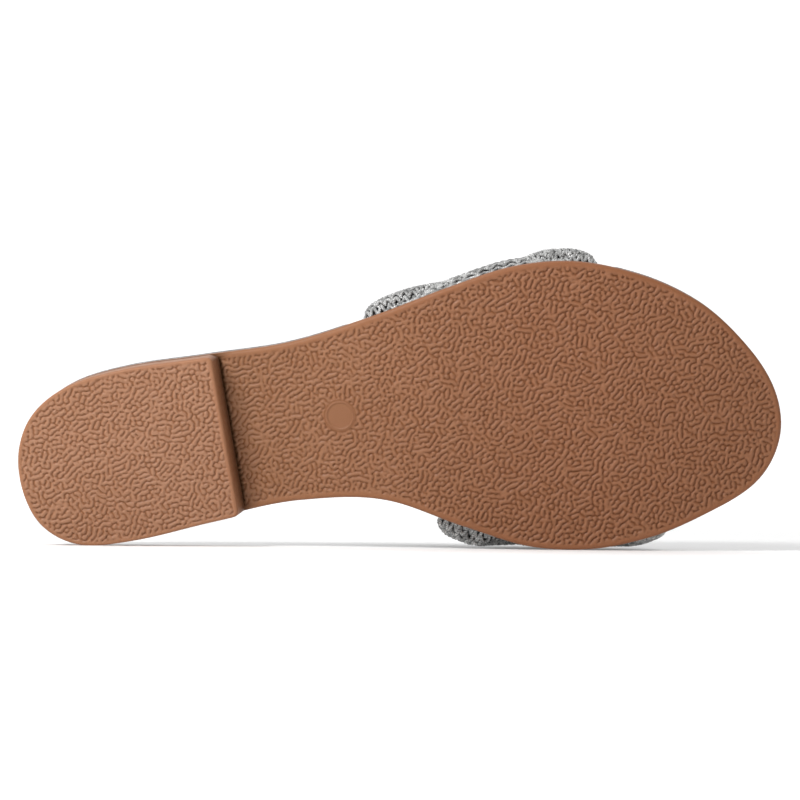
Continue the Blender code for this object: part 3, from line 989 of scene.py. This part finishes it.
# %% [markdown]
# ## Lining and flanges
#
# Inside, the strap is backed by a dark cloth wall that turns in under the insole at both roots, where it
# is glued. It is one sheet, made from a grid and thickened with solidify, so that wall and flanges are
# whole as on the real strap.

# %% Lining with its flanges
FLANGE_WIDTH = 11.0
FLANGE_ROOT = 0.6
FLANGE_POINTS = 5
WALL_EDGE = 0.12
LINING_THICKNESS = 0.6
LINING_ROWS = 41
LINING_COLUMNS = 101
LINING_REACH = (0.004, 0.996)
OVER_INSTEP = Vector((160, -8, 60))
lining_places = np.linspace(WALL_EDGE, 1 - WALL_EDGE, LINING_ROWS)
lining_alongs = np.linspace(*LINING_REACH, LINING_COLUMNS)


def set_uv(shape, uv_of_vert):
    """Gives every corner of every face the flat place, in millimetres, of its vertex."""
    layer = shape.loops.layers.uv.new("UVMap")
    for face in shape.faces:
        for corner in face.loops:
            corner[layer].uv = uv_of_vert[corner.vert.index]


def flange(place, side):
    """Points of one flange, from its free edge to the root."""
    root = strap_root(place, side)
    other = strap_root(place, "inner" if side == "outer" else "outer")
    inwards = (other - root) / np.linalg.norm(other - root)
    points = []
    for width in np.linspace(FLANGE_WIDTH, FLANGE_ROOT, FLANGE_POINTS):
        point = root + inwards * width
        point[2] = seat_height(point[0]) + LINING_THICKNESS
        points.append(point)
    return points


def lining_row(place):
    """Points of the lining at one place, from the free edge of one flange to that of the other."""
    arch = on_lining(lining_alongs, np.full_like(lining_alongs, place), np.zeros_like(lining_alongs))
    return np.array(flange(place, "outer") + list(arch) + flange(place, "inner")[::-1])


lining_rows = [lining_row(place) for place in lining_places]
row_points = len(lining_rows[0])
lining_shape = grid_over(np.arange(row_points, dtype=float), np.arange(len(lining_rows), dtype=float))
lining_index = [(round(vert.co.y), round(vert.co.x)) for vert in lining_shape.verts]
set_points(lining_shape, [lining_rows[row][column] for row, column in lining_index])
lining_shape.verts.index_update()
column_step = STRAP_LENGTH / (LINING_COLUMNS - 1)
row_step = STRAP_WIDTH * (1 - 2 * WALL_EDGE) / (LINING_ROWS - 1)
set_uv(lining_shape, [(column * column_step, row * row_step) for row, column in lining_index])
bmesh.ops.recalc_face_normals(lining_shape, faces=lining_shape.faces)
lining_shape.faces.ensure_lookup_table()
middle_face = min(lining_shape.faces, key=lambda face: (face.calc_center_median() - OVER_INSTEP).length)
outwards = 1.0 if middle_face.normal.z > 0 else -1.0
bmesh.ops.solidify(lining_shape, geom=lining_shape.faces[:], thickness=-outwards * LINING_THICKNESS)
finish_piece("strap_lining", lining_shape, "upper", lining_cloth)

# %% [markdown]
# ## The plait
#
# Three strands cross each other over the foot, each swaying from side to side a third of a turn after
# the last. Near the roots a strand leaves the plait and runs to its own place at the sole's edge, where
# it is gathered. Its section is a flat dome that is higher where it crosses over the others. Wales are
# the columns of stitches that the strand is knitted with.

# %% Middle, width and height of a strand
STRAND_WIDTH = 31.5
STRAND_THICKNESS = 1.4
STRAND_RISE = 3.8
STRAND_SWAY = 0.285
STRAND_DOME = 2.7
ROOT_FADE = 0.16
END_ROUNDING = 5.0
END_DROP = 0.95
Root = namedtuple("Root", "place half_width height")
Strand = namedtuple("Strand", "name phase underside wales outer inner")
STRANDS = (
    Strand("back_strand", math.radians(264), 0.4, 8, Root(0.13, 0.14, 5.6), Root(0.11, 0.13, 8.4)),
    Strand("cross_strand", math.radians(24), 0.8, 9, Root(0.88, 0.13, 4.8), Root(0.50, 0.30, 2.0)),
    Strand("front_strand", math.radians(144), 1.2, 10, Root(0.50, 0.28, 2.4), Root(0.93, 0.10, 4.2)),
)


def strand_section(strand, along):
    """Middle and half width, as places on the strap, and height in mm, at points along the strap."""
    turn = 2 * np.pi * along + strand.phase
    slope = STRAND_SWAY * STRAP_WIDTH * 2 * np.pi * np.cos(turn) / STRAP_LENGTH
    from_root = np.clip(np.minimum(along, 1 - along), 0, None)
    free = smooth_step(from_root / ROOT_FADE)
    taper = np.minimum(from_root * STRAP_LENGTH / END_ROUNDING, 1.0)

    def loosened(column, plaited):
        gathered = np.where(along < 0.5, getattr(strand.outer, column), getattr(strand.inner, column))
        return gathered + (plaited - gathered) * free

    middle = loosened("place", 0.5 + STRAND_SWAY * np.sin(turn))
    half_width = loosened("half_width", STRAND_WIDTH / 2 * np.hypot(1, slope) / STRAP_WIDTH)
    height = loosened("height", STRAND_THICKNESS + STRAND_RISE * (1 - np.sin(2 * turn)) / 2)
    return middle, half_width, height * np.sqrt(1 - END_DROP * (1 - taper) ** 2)


def dome(share):
    """Height of the strand's section, as a share of its full height, across its half width."""
    return np.clip(1 - np.abs(share) ** STRAND_DOME, 0, None) ** (1 / STRAND_DOME)


print("strands:", [strand.name for strand in STRANDS])

# %% [markdown]
# ## The skin of a strand
#
# The knit's rows lie square across a strand, however it slants over the strap. So each strand gets its
# own map: down its middle line by length, and across it by length round the dome. The map gives points
# and outward directions of the strand's skin, and the yarn is laid on it afterwards. It also gives the
# top and the floor of the stuffing under the skin.
#
# The strand's edges lie high enough over the lining that no yarn comes through to its inner face. The
# rows turn slowly where the strand bends, or they would cross each other on the inside of the bend.

# %% Map of a strand's skin
SKIN_ROWS = 320
SKIN_ACROSS = 81
LINE_POINTS = 1600
DOME_POINTS = 2001
ROOT_REACH = 0.014
EDGE_LIFT = 2.05
ROW_SOFTNESS = 12.0
CORE_INSET = 2.0
CORE_FLOOR = 0.25
Skin = namedtuple("Skin", "length width rows across crown points out core floor")


def run_along(points):
    """Length of a line up to each of its points."""
    return np.concatenate(([0.0], np.cumsum(np.linalg.norm(np.diff(points, axis=0), axis=1))))


def dome_shares():
    """Positions across a strand, from edge to edge, at even lengths round a middling dome."""
    share = np.sin(np.linspace(-np.pi / 2, np.pi / 2, DOME_POINTS))
    height = dome(share) * (STRAND_THICKNESS + STRAND_RISE / 2)
    run = run_along(np.stack((share * STRAND_WIDTH / 2, height), axis=1))
    return np.interp(np.linspace(0, run[-1], SKIN_ACROSS), run, share), run[-1]


def softened(rows, spread):
    """Rows of a table averaged with their neighbours, so that they change slowly."""
    reach = int(3 * spread)
    weight = np.exp(-((np.arange(-reach, reach + 1) / spread) ** 2) / 2)
    padded = np.pad(rows, ((reach, reach), (0, 0)), mode="edge")
    return np.stack([np.convolve(column, weight / weight.sum(), "valid") for column in padded.T], axis=1)


def strand_skin(strand):
    along = np.linspace(-ROOT_REACH, 1 + ROOT_REACH, LINE_POINTS)
    middle, half_width, _ = strand_section(strand, along)
    line = np.stack((along * STRAP_LENGTH, middle * STRAP_WIDTH), axis=1)
    run = run_along(line)
    at = np.linspace(0, run[-1], SKIN_ROWS)
    line = np.stack([np.interp(at, run, line[:, axis]) for axis in (0, 1)], axis=1)
    tangent = softened(np.gradient(line, axis=0), ROW_SOFTNESS * SKIN_ROWS / run[-1])
    tangent /= np.linalg.norm(tangent, axis=1)[:, None]
    square = np.stack((-tangent[:, 1], tangent[:, 0]), axis=1)
    reach = np.interp(at, run, half_width) * STRAP_WIDTH * tangent[:, 0]
    shares, width = dome_shares()
    flat = line[:, None, :] + square[:, None, :] * (reach[:, None] * shares[None, :])[:, :, None]
    flat_along = np.clip(flat[:, :, 0] / STRAP_LENGTH, MAP_ALONG[0], MAP_ALONG[-1])
    place = flat[:, :, 1] / STRAP_WIDTH
    middle, half_width, height = strand_section(strand, flat_along)
    lift = strand.underside + height * dome(np.clip((place - middle) / half_width, -1, 1))
    lift = np.maximum(lift, EDGE_LIFT)
    points = on_lining(flat_along, place, lift)
    out = np.cross(np.gradient(points, axis=1), np.gradient(points, axis=0))
    out /= np.linalg.norm(out, axis=2)[:, :, None]
    crown = run_along(points[:, SKIN_ACROSS // 2])
    return Skin(
        length=crown[-1],
        width=width,
        rows=np.linspace(0, 1, SKIN_ROWS),
        across=np.linspace(0, 1, SKIN_ACROSS),
        crown=crown / crown[-1],
        points=points,
        out=out,
        core=on_lining(flat_along, place, np.maximum(lift - CORE_INSET, 2 * CORE_FLOOR)),
        floor=on_lining(flat_along, place, np.full_like(lift, CORE_FLOOR)),
    )


skins = {strand.name: strand_skin(strand) for strand in STRANDS}
for name, skin in skins.items():
    print(name, "is", round(skin.length), "mm long over its crown")

# %% [markdown]
# ## Yarn
#
# The strands are knitted from a coarse metallic yarn, in plain knit: each row is a chain of loops that
# hang in the loops of the row before. On the right side the legs of the loops show as columns of V, and
# between them dark holes look through to what lies behind.
#
# A bump could only paint that. Here the yarn is one long tube for each strand, which runs across, turns
# at the edge and comes back, as on a knitting needle. The loop is a known curve: it sways to and fro
# twice as often as it goes up and down, and dips behind at head and foot. The rows are spaced by the
# length over the strand's crown, so that they do not stretch where it bulges.

# %% Knit a strand
COURSE = 2.8
STITCH_POINTS = 16
YARN_SIDES = 8
YARN_RADIUS = 0.56
YARN_WELD = 0.001
LOOP_WAIST = 0.12
LOOP_REACH = 0.66
LOOP_DEPTH = 0.42
YARN_SINK = 0.90


def courses_of(skin):
    return int(skin.length / COURSE)


def yarn_line(skin, wales):
    """The yarn's path over a skin: share of its length, share of its width, height over it."""
    courses = courses_of(skin)
    tau = np.linspace(0, wales, wales * STITCH_POINTS, endpoint=False)
    rows = []
    for course in range(courses):
        wale = tau if course % 2 == 0 else wales - tau
        across = (wale - LOOP_WAIST * np.sin(4 * np.pi * wale)) / wales
        down = (course + 0.5 - LOOP_REACH * np.cos(2 * np.pi * wale)) / courses
        lift = -YARN_SINK - LOOP_DEPTH * np.cos(4 * np.pi * wale)
        rows.append(np.stack((down, across, lift), axis=1))
    return np.concatenate(rows)


def knitted_yarn(skin, wales):
    path = yarn_line(skin, wales)
    down = np.interp(path[:, 0], skin.crown, skin.rows)
    across = np.clip(path[:, 1], 0, 1)
    out = read_map(skin.out, skin.rows, skin.across, down, across)
    out /= np.linalg.norm(out, axis=1)[:, None]
    centre = read_map(skin.points, skin.rows, skin.across, down, across) + out * path[:, 2:]
    tangent = np.gradient(centre, axis=0)
    tangent /= np.linalg.norm(tangent, axis=1)[:, None]
    beside = np.cross(tangent, out)
    beside /= np.linalg.norm(beside, axis=1)[:, None]
    above = np.cross(beside, tangent)
    run = run_along(centre)
    shape = bmesh.new()
    bmesh.ops.create_grid(shape, x_segments=len(centre) - 1, y_segments=YARN_SIDES, size=1)
    share = (np.array([vert.co[:2] for vert in shape.verts]) + 1) / 2
    ring = np.rint(share[:, 0] * (len(centre) - 1)).astype(int)
    angle = 2 * np.pi * share[:, 1]
    round_it = beside[ring] * np.cos(angle)[:, None] + above[ring] * np.sin(angle)[:, None]
    set_points(shape, centre[ring] + YARN_RADIUS * round_it)
    shape.verts.index_update()
    set_uv(shape, np.stack((run[ring], share[:, 1]), axis=1))
    bmesh.ops.remove_doubles(shape, verts=shape.verts, dist=YARN_WELD)
    bmesh.ops.holes_fill(shape, edges=[edge for edge in shape.edges if edge.is_boundary])
    return shape


for strand in STRANDS:
    print(strand.name, "takes", courses_of(skins[strand.name]), "rows of", strand.wales, "stitches")

# %% [markdown]
# ## Metallic yarn
#
# The yarn is twisted from grey fibre and flat silver foil. Along it run the slanting turns of the plies,
# made from the tube's own flat map. Foil glints, fibre does not, so the colour and the gloss jump between
# a light and a dark grey.

# %% Yarn material and the three knits
PLIES = 2
PLY_TURN = 1.6
PLY_DEPTH = 0.00016
PLY_STRENGTH = 0.8
PLY_SHADE = 0.5
YARN_METAL = 0.30
FOIL_PER_METRE = 420.0
FOIL_DETAIL = 2.0
FOIL_TONES = (0.38, 0.66)
FIBRE_GREY = (0.30, 0.30, 0.295)
FOIL_SILVER = (0.72, 0.72, 0.71)
PLY_SHADE_GREY = (0.08, 0.08, 0.08)
FIBRE_ROUGHNESS = 0.62
FOIL_ROUGHNESS = 0.30
FIBRES_PER_METRE = 3200.0
FIBRE_DEPTH = 0.00008
FIBRE_STRENGTH = 0.7


def metallic_yarn(name):
    material, tree, shader = new_material(name)
    place = surface_place(tree)
    lengthwise, around = flat_place(tree)
    turns = maths(tree, "MULTIPLY_ADD", lengthwise, 1 / PLY_TURN, around)
    ply = maths(tree, "SINE", maths(tree, "MULTIPLY", turns, 2 * math.pi * PLIES))
    foil = between(tree, noise(tree, place, FOIL_PER_METRE, FOIL_DETAIL), *FOIL_TONES, 0.0, 1.0)
    colour = blend_colours(tree, foil, FIBRE_GREY, FOIL_SILVER)
    # The valleys between the plies are painted darker: painted shade.
    valley = between(tree, ply, -1.0, 0.0, PLY_SHADE, 0.0)
    colour = blend_colours(tree, valley, colour, PLY_SHADE_GREY)
    tree.links.new(colour, shader.inputs["Base Color"])
    dull = between(tree, foil, 0.0, 1.0, FIBRE_ROUGHNESS, FOIL_ROUGHNESS)
    tree.links.new(dull, shader.inputs["Roughness"])
    shader.inputs["Metallic"].default_value = YARN_METAL
    plies = bump(tree, ply, PLY_DEPTH, PLY_STRENGTH)
    fibres = bump(tree, noise(tree, place, FIBRES_PER_METRE), FIBRE_DEPTH, FIBRE_STRENGTH, under=plies)
    tree.links.new(fibres, shader.inputs["Normal"])
    return material


silver_yarn = metallic_yarn("silver_yarn")
for strand in STRANDS:
    yarn_shape = knitted_yarn(skins[strand.name], strand.wales)
    finish_piece(strand.name + "_knit", yarn_shape, "upper", silver_yarn)

# %% [markdown]
# ## The dark core of the strands
#
# Under the knit each strand has a stuffing, which fills it out and shows through the holes. It is a
# closed tube a little smaller than the skin, so that the yarn lies just over it. Its near-black cloth is
# partly its own colour and partly painted shade for the dark holes between the stitches.

# %% Cores
CORE_MARGIN = 0.06
CORE_STEPS = 96
CORE_TOP = 15
CORE_BASE = 5


def strand_core(skin):
    sides = CORE_TOP + CORE_BASE
    shape = bmesh.new()
    bmesh.ops.create_cone(shape, cap_ends=True, segments=sides, radius1=1, radius2=1, depth=2)
    lengthwise = [edge for edge in shape.edges if abs(edge.verts[0].co.z - edge.verts[1].co.z) > 1]
    bmesh.ops.subdivide_edges(shape, edges=lengthwise, cuts=CORE_STEPS - 1)
    points = np.array([vert.co for vert in shape.verts])
    down = 0.5 + points[:, 2] / 2
    corner = np.rint(np.arctan2(points[:, 0], points[:, 1]) / (2 * np.pi) * sides).astype(int) % sides
    on_top = corner < CORE_TOP
    across = np.where(on_top, corner / (CORE_TOP - 1), 1 - (corner - CORE_TOP + 1) / (CORE_BASE + 1))
    drawn_in = CORE_MARGIN + (1 - 2 * CORE_MARGIN) * across
    top = read_map(skin.core, skin.rows, skin.across, down, drawn_in)
    base = read_map(skin.floor, skin.rows, skin.across, down, drawn_in)
    set_points(shape, np.where(on_top[:, None], top, base))
    shape.verts.index_update()
    set_uv(shape, np.stack((down * skin.length, across * skin.width), axis=1))
    return shape


for strand in STRANDS:
    core_shape = strand_core(skins[strand.name])
    finish_piece(strand.name + "_core", core_shape, "upper", stuffing_and_painted_shade)

# %% [markdown]
# ## Room for the strap at the insole
#
# The insole's edge is drawn in where the strap passes, and its underside has room for the strap's
# flanges. Both fade out before and behind the strap, so that they leave no step.

# %% Notch and recess of the insole
NOTCH_FADE = 8.0
RECESS_PAST = 4.0
RECESS_FADE = 6.0
RECESS_DEEPER = 5.0
RECESS_SLOPE = 3.0


def strap_ends(side):
    """Stations of the strap's back and front edge on one side of the sole."""
    roots = [getattr(rib, side + "_station") for rib in RIBS]
    return roots[0], roots[-1]


def notched_edge(station, side):
    """How far the insole's edge is drawn in, to let the strap pass."""
    back, front = strap_ends(side)
    before = smooth_step((back - station) / NOTCH_FADE)
    after = smooth_step((station - front) / NOTCH_FADE)
    return INSOLE_NOTCH * (1 - np.maximum(before, after))


def flange_room(station, side, inside):
    """Share of the recess under the pad's edge that a flange needs at this point."""
    back, front = strap_ends(side)
    behind = smooth_step((station - back + RECESS_PAST) / RECESS_FADE)
    ahead = smooth_step((front + RECESS_PAST - station) / RECESS_FADE)
    return behind * ahead * smooth_step((FLANGE_WIDTH + RECESS_DEEPER - inside) / RECESS_SLOPE)


print("the strap's outer root runs from", *strap_ends("outer"), "and its inner from", *strap_ends("inner"))

# %% [markdown]
# ## The padded insole
#
# The footbed is a thin pad wrapped in grey cloth with a metallic glint. A square grid is rounded to a
# disc and stretched into the sole's outline, with more rings near the edge, where the pad turns over in a
# soft round. A copy of it, extruded downwards, closes the pad. The top is dished a little under heel and
# ball, as a worn-in pad is. A cloth simulation would puff such a thin pad up, so its points are set one by
# one.

# %% Insole
PAD_ALONG = 150
PAD_ACROSS = 64
PAD_ROUND = 2.6
PAD_CROWD = 1.7
PAD_FLOOR = 0.05
PAD_WELD = 0.002
DISH_FADE = 9.0
Dish = namedtuple("Dish", "depth station side long wide")
DISHES = (
    Dish(0.7, 34.0, -3.0, 26.0, 17.0),
    Dish(0.6, 172.0, -9.0, 30.0, 28.0),
)


def dished(station, side):
    """How far the foot has pressed the pad in."""
    return sum(
        dish.depth
        * np.exp(-(((station - dish.station) / dish.long) ** 2) - ((side - dish.side) / dish.wide) ** 2)
        for dish in DISHES
    )


def pad_grid():
    """A grid in the sole's outline, with its stations and how far each point lies towards the inner side."""
    shape = bmesh.new()
    bmesh.ops.create_grid(shape, x_segments=PAD_ALONG, y_segments=PAD_ACROSS, size=1)
    square = np.array([vert.co[:2] for vert in shape.verts])
    ring = np.abs(square).max(axis=1)
    crowded = 1 - (1 - ring) ** PAD_CROWD
    square = square * (crowded / np.where(ring > 0, ring, 1))[:, None]
    x = square[:, 0] * np.sqrt(1 - square[:, 1] ** 2 / 2)
    y = square[:, 1] * np.sqrt(1 - square[:, 0] ** 2 / 2)
    chord = np.sqrt(np.clip(1 - x**2, 0, None))
    share = np.divide(y, chord, out=np.zeros_like(y), where=chord > TINY)
    return shape, SOLE_LENGTH * (1 + x) / 2, share


def insole_pad():
    shape, station, share = pad_grid()
    on_outer = share < 0
    outer = sole_edge(station, "outer") + notched_edge(station, "outer")
    inner = sole_edge(station, "inner") - notched_edge(station, "inner")
    side = outer + (inner - outer) * (1 + share) / 2
    flat = np.stack((station, side), axis=1)
    border = np.array([vert.is_boundary for vert in shape.verts])
    inside = depth_inside(sole_loop, flat)[0]
    drawn_in = np.where(on_outer, notched_edge(station, "outer"), notched_edge(station, "inner"))
    inside = np.where(border, 0, np.clip(inside - drawn_in, 0, None))
    crown = np.sqrt(np.clip(1 - (1 - np.clip(inside / PAD_ROUND, 0, 1)) ** 2, 0, 1))
    seat = seat_height(station)
    half = INSOLE_THICKNESS / 2
    top = seat + half + half * crown - dished(station, side) * smooth_step(inside / DISH_FADE)
    outer_room = flange_room(station, "outer", inside)
    recess = np.where(on_outer, outer_room, flange_room(station, "inner", inside))
    bottom = seat + PAD_FLOOR + (half - PAD_FLOOR) * (1 - crown) + (LINING_THICKNESS + GAP) * recess * crown
    set_points(shape, np.column_stack((flat, top)))
    underside = shape.verts.layers.float.new("underside")
    for vert, level in zip(shape.verts, bottom):
        vert[underside] = level
    shape.verts.index_update()
    set_uv(shape, flat)
    extruded = bmesh.ops.extrude_face_region(shape, geom=shape.faces[:])["geom"]
    for vert in extruded:
        if isinstance(vert, bmesh.types.BMVert):
            vert.co.z = vert[underside]
    bmesh.ops.remove_doubles(shape, verts=shape.verts, dist=PAD_WELD)
    return shape


insole = finish_piece("padded_insole", insole_pad(), "insole", footbed_cloth)

# %% [markdown]
# ## Floor and backdrop
#
# The sandal lies on a plain white sweep: a floor that turns up behind in a wide curve, so that there is
# no horizon. It is a single strip, bent along the curve. Away from the sandal it glows a little, so that
# the backdrop is plain white while the shadow under the sandal stays.

# %% White sweep
SWEEP_HALF_WIDTH = 12.0
SWEEP_FRONT = -12.0
SWEEP_BACK = 4.0
SWEEP_RADIUS = 2.0
SWEEP_TOP = 6.0
SWEEP_BENDS = 25
SWEEP_WHITE = (0.85, 0.85, 0.85, 1.0)
SWEEP_ROUGHNESS = 0.9
GLOW_WHITE = (1.0, 1.0, 1.0, 1.0)
GLOW_REACH = (0.25, 1.3)
GLOW = (0.15, 0.65)

sweep_line = [(SWEEP_FRONT, 0.0)]
for bend in np.linspace(0, math.pi / 2, SWEEP_BENDS):
    sweep_line.append((SWEEP_BACK + SWEEP_RADIUS * math.sin(bend), SWEEP_RADIUS * (1 - math.cos(bend))))
sweep_line.append((SWEEP_BACK + SWEEP_RADIUS, SWEEP_TOP))

sweep_shape = bmesh.new()
bmesh.ops.create_grid(sweep_shape, x_segments=len(sweep_line) - 1, y_segments=1, size=1)
for vert in sweep_shape.verts:
    depth, height = sweep_line[round((vert.co.x + 1) / 2 * (len(sweep_line) - 1))]
    vert.co = (-vert.co.y * SWEEP_HALF_WIDTH, depth, height)
bmesh.ops.recalc_face_normals(sweep_shape, faces=sweep_shape.faces)
sweep_mesh = bpy.data.meshes.new("white_sweep")
sweep_shape.to_mesh(sweep_mesh)
sweep_shape.free()
sweep_mesh.shade_smooth()
sweep = bpy.data.objects.new("white_sweep", sweep_mesh)
bpy.context.scene.collection.objects.link(sweep)
sweep_white, sweep_tree, sweep_shader = new_material("sweep_white")
sweep_shader.inputs["Base Color"].default_value = SWEEP_WHITE
sweep_shader.inputs["Roughness"].default_value = SWEEP_ROUGHNESS
sweep_shader.inputs["Emission Color"].default_value = GLOW_WHITE
away = sweep_tree.nodes.new("ShaderNodeVectorMath")
away.operation = "LENGTH"
sweep_tree.links.new(surface_place(sweep_tree), away.inputs[0])
glow = between(sweep_tree, away.outputs["Value"], *GLOW_REACH, *GLOW)
sweep_tree.links.new(glow, sweep_shader.inputs["Emission Strength"])
sweep_mesh.materials.append(sweep_white)
print("sweep of", len(sweep_mesh.polygons), "faces")

# %% [markdown]
# ## Light
#
# The picture has soft studio light from the upper left, on the heel's side, so each worm of the grain has
# a light upper left flank and a dark lower right one, and the toe is a little darker than the heel. A
# round lamp, a little wider than the sandal is long, does that. A larger one over the sandal and a pale
# sky fill the shadows.

# %% Lamps and sky
SKY_STRENGTH = 0.36


def soft_lamp(name, place, aim, size, watts):
    lamp = bpy.data.lights.new(name, "AREA")
    lamp.shape = "DISK"
    lamp.size = size
    lamp.energy = watts
    holder = bpy.data.objects.new(name, lamp)
    bpy.context.scene.collection.objects.link(holder)
    holder.location = place
    holder.rotation_euler = (Vector(aim) - Vector(place)).to_track_quat("-Z", "Y").to_euler()


# The rubber's painted sheen on the heel side adds to this lamp's brightness there.
soft_lamp("key_lamp", place=(-0.38, -0.48, 0.48), aim=(0.0, -0.03, 0.05), size=0.30, watts=5.3)
soft_lamp("top_lamp", place=(0.1, 0.25, 1.4), aim=(0.0, -0.1, 0.04), size=1.4, watts=6)
sky = bpy.data.worlds.new("pale_sky")
sky.use_nodes = True
sky.node_tree.nodes["Background"].inputs["Color"].default_value = (1, 1, 1, 1)
sky.node_tree.nodes["Background"].inputs["Strength"].default_value = SKY_STRENGTH
bpy.context.scene.world = sky
bpy.context.scene.view_settings.view_transform = "Standard"

# %% [markdown]
# ## Camera
#
# The camera stands straight in front of the tread, a little towards the toe and towards the outer side,
# three quarters of a metre away, and is rolled slightly. All of that is said in the sandal's own axes and
# then turned with it, so the view of the sole does not depend on how the sandal lies.

# %% Camera
CAMERA_DISTANCE = 750.0
CAMERA_TO_TOE = math.radians(3.0)
CAMERA_TO_OUTER = math.radians(7.0)
CAMERA_ROLL = math.radians(-3.809)
CAMERA_AIM = Vector((124.227, -14.742, 0.0))
CAMERA_LENS = 106.19
SENSOR_WIDTH = 36.0

to_toe = math.sin(CAMERA_TO_TOE)
to_outer = -math.sin(CAMERA_TO_OUTER)
to_ground = -math.sqrt(1 - to_toe**2 - to_outer**2)
backwards = Vector((to_toe, to_outer, to_ground))
right = (-backwards).cross(Vector((0, -1, 0))).normalized()
above = right.cross(-backwards)
roll = Matrix.Rotation(CAMERA_ROLL, 3, -backwards)
view_axes = Matrix((right, above, backwards)).transposed()
camera_data = bpy.data.cameras.new("tread_camera")
camera_data.lens = CAMERA_LENS
camera_data.sensor_width = SENSOR_WIDTH
camera = bpy.data.objects.new("tread_camera", camera_data)
bpy.context.scene.collection.objects.link(camera)
turned = SHOE_TO_WORLD.to_3x3().normalized() @ roll.inverted() @ view_axes
camera.matrix_world = turned.to_4x4()
camera.location = SHOE_TO_WORLD @ (CAMERA_AIM + backwards * CAMERA_DISTANCE)
bpy.context.scene.camera = camera
print("camera stands at", [round(1000 * axis) for axis in camera.location], "mm")
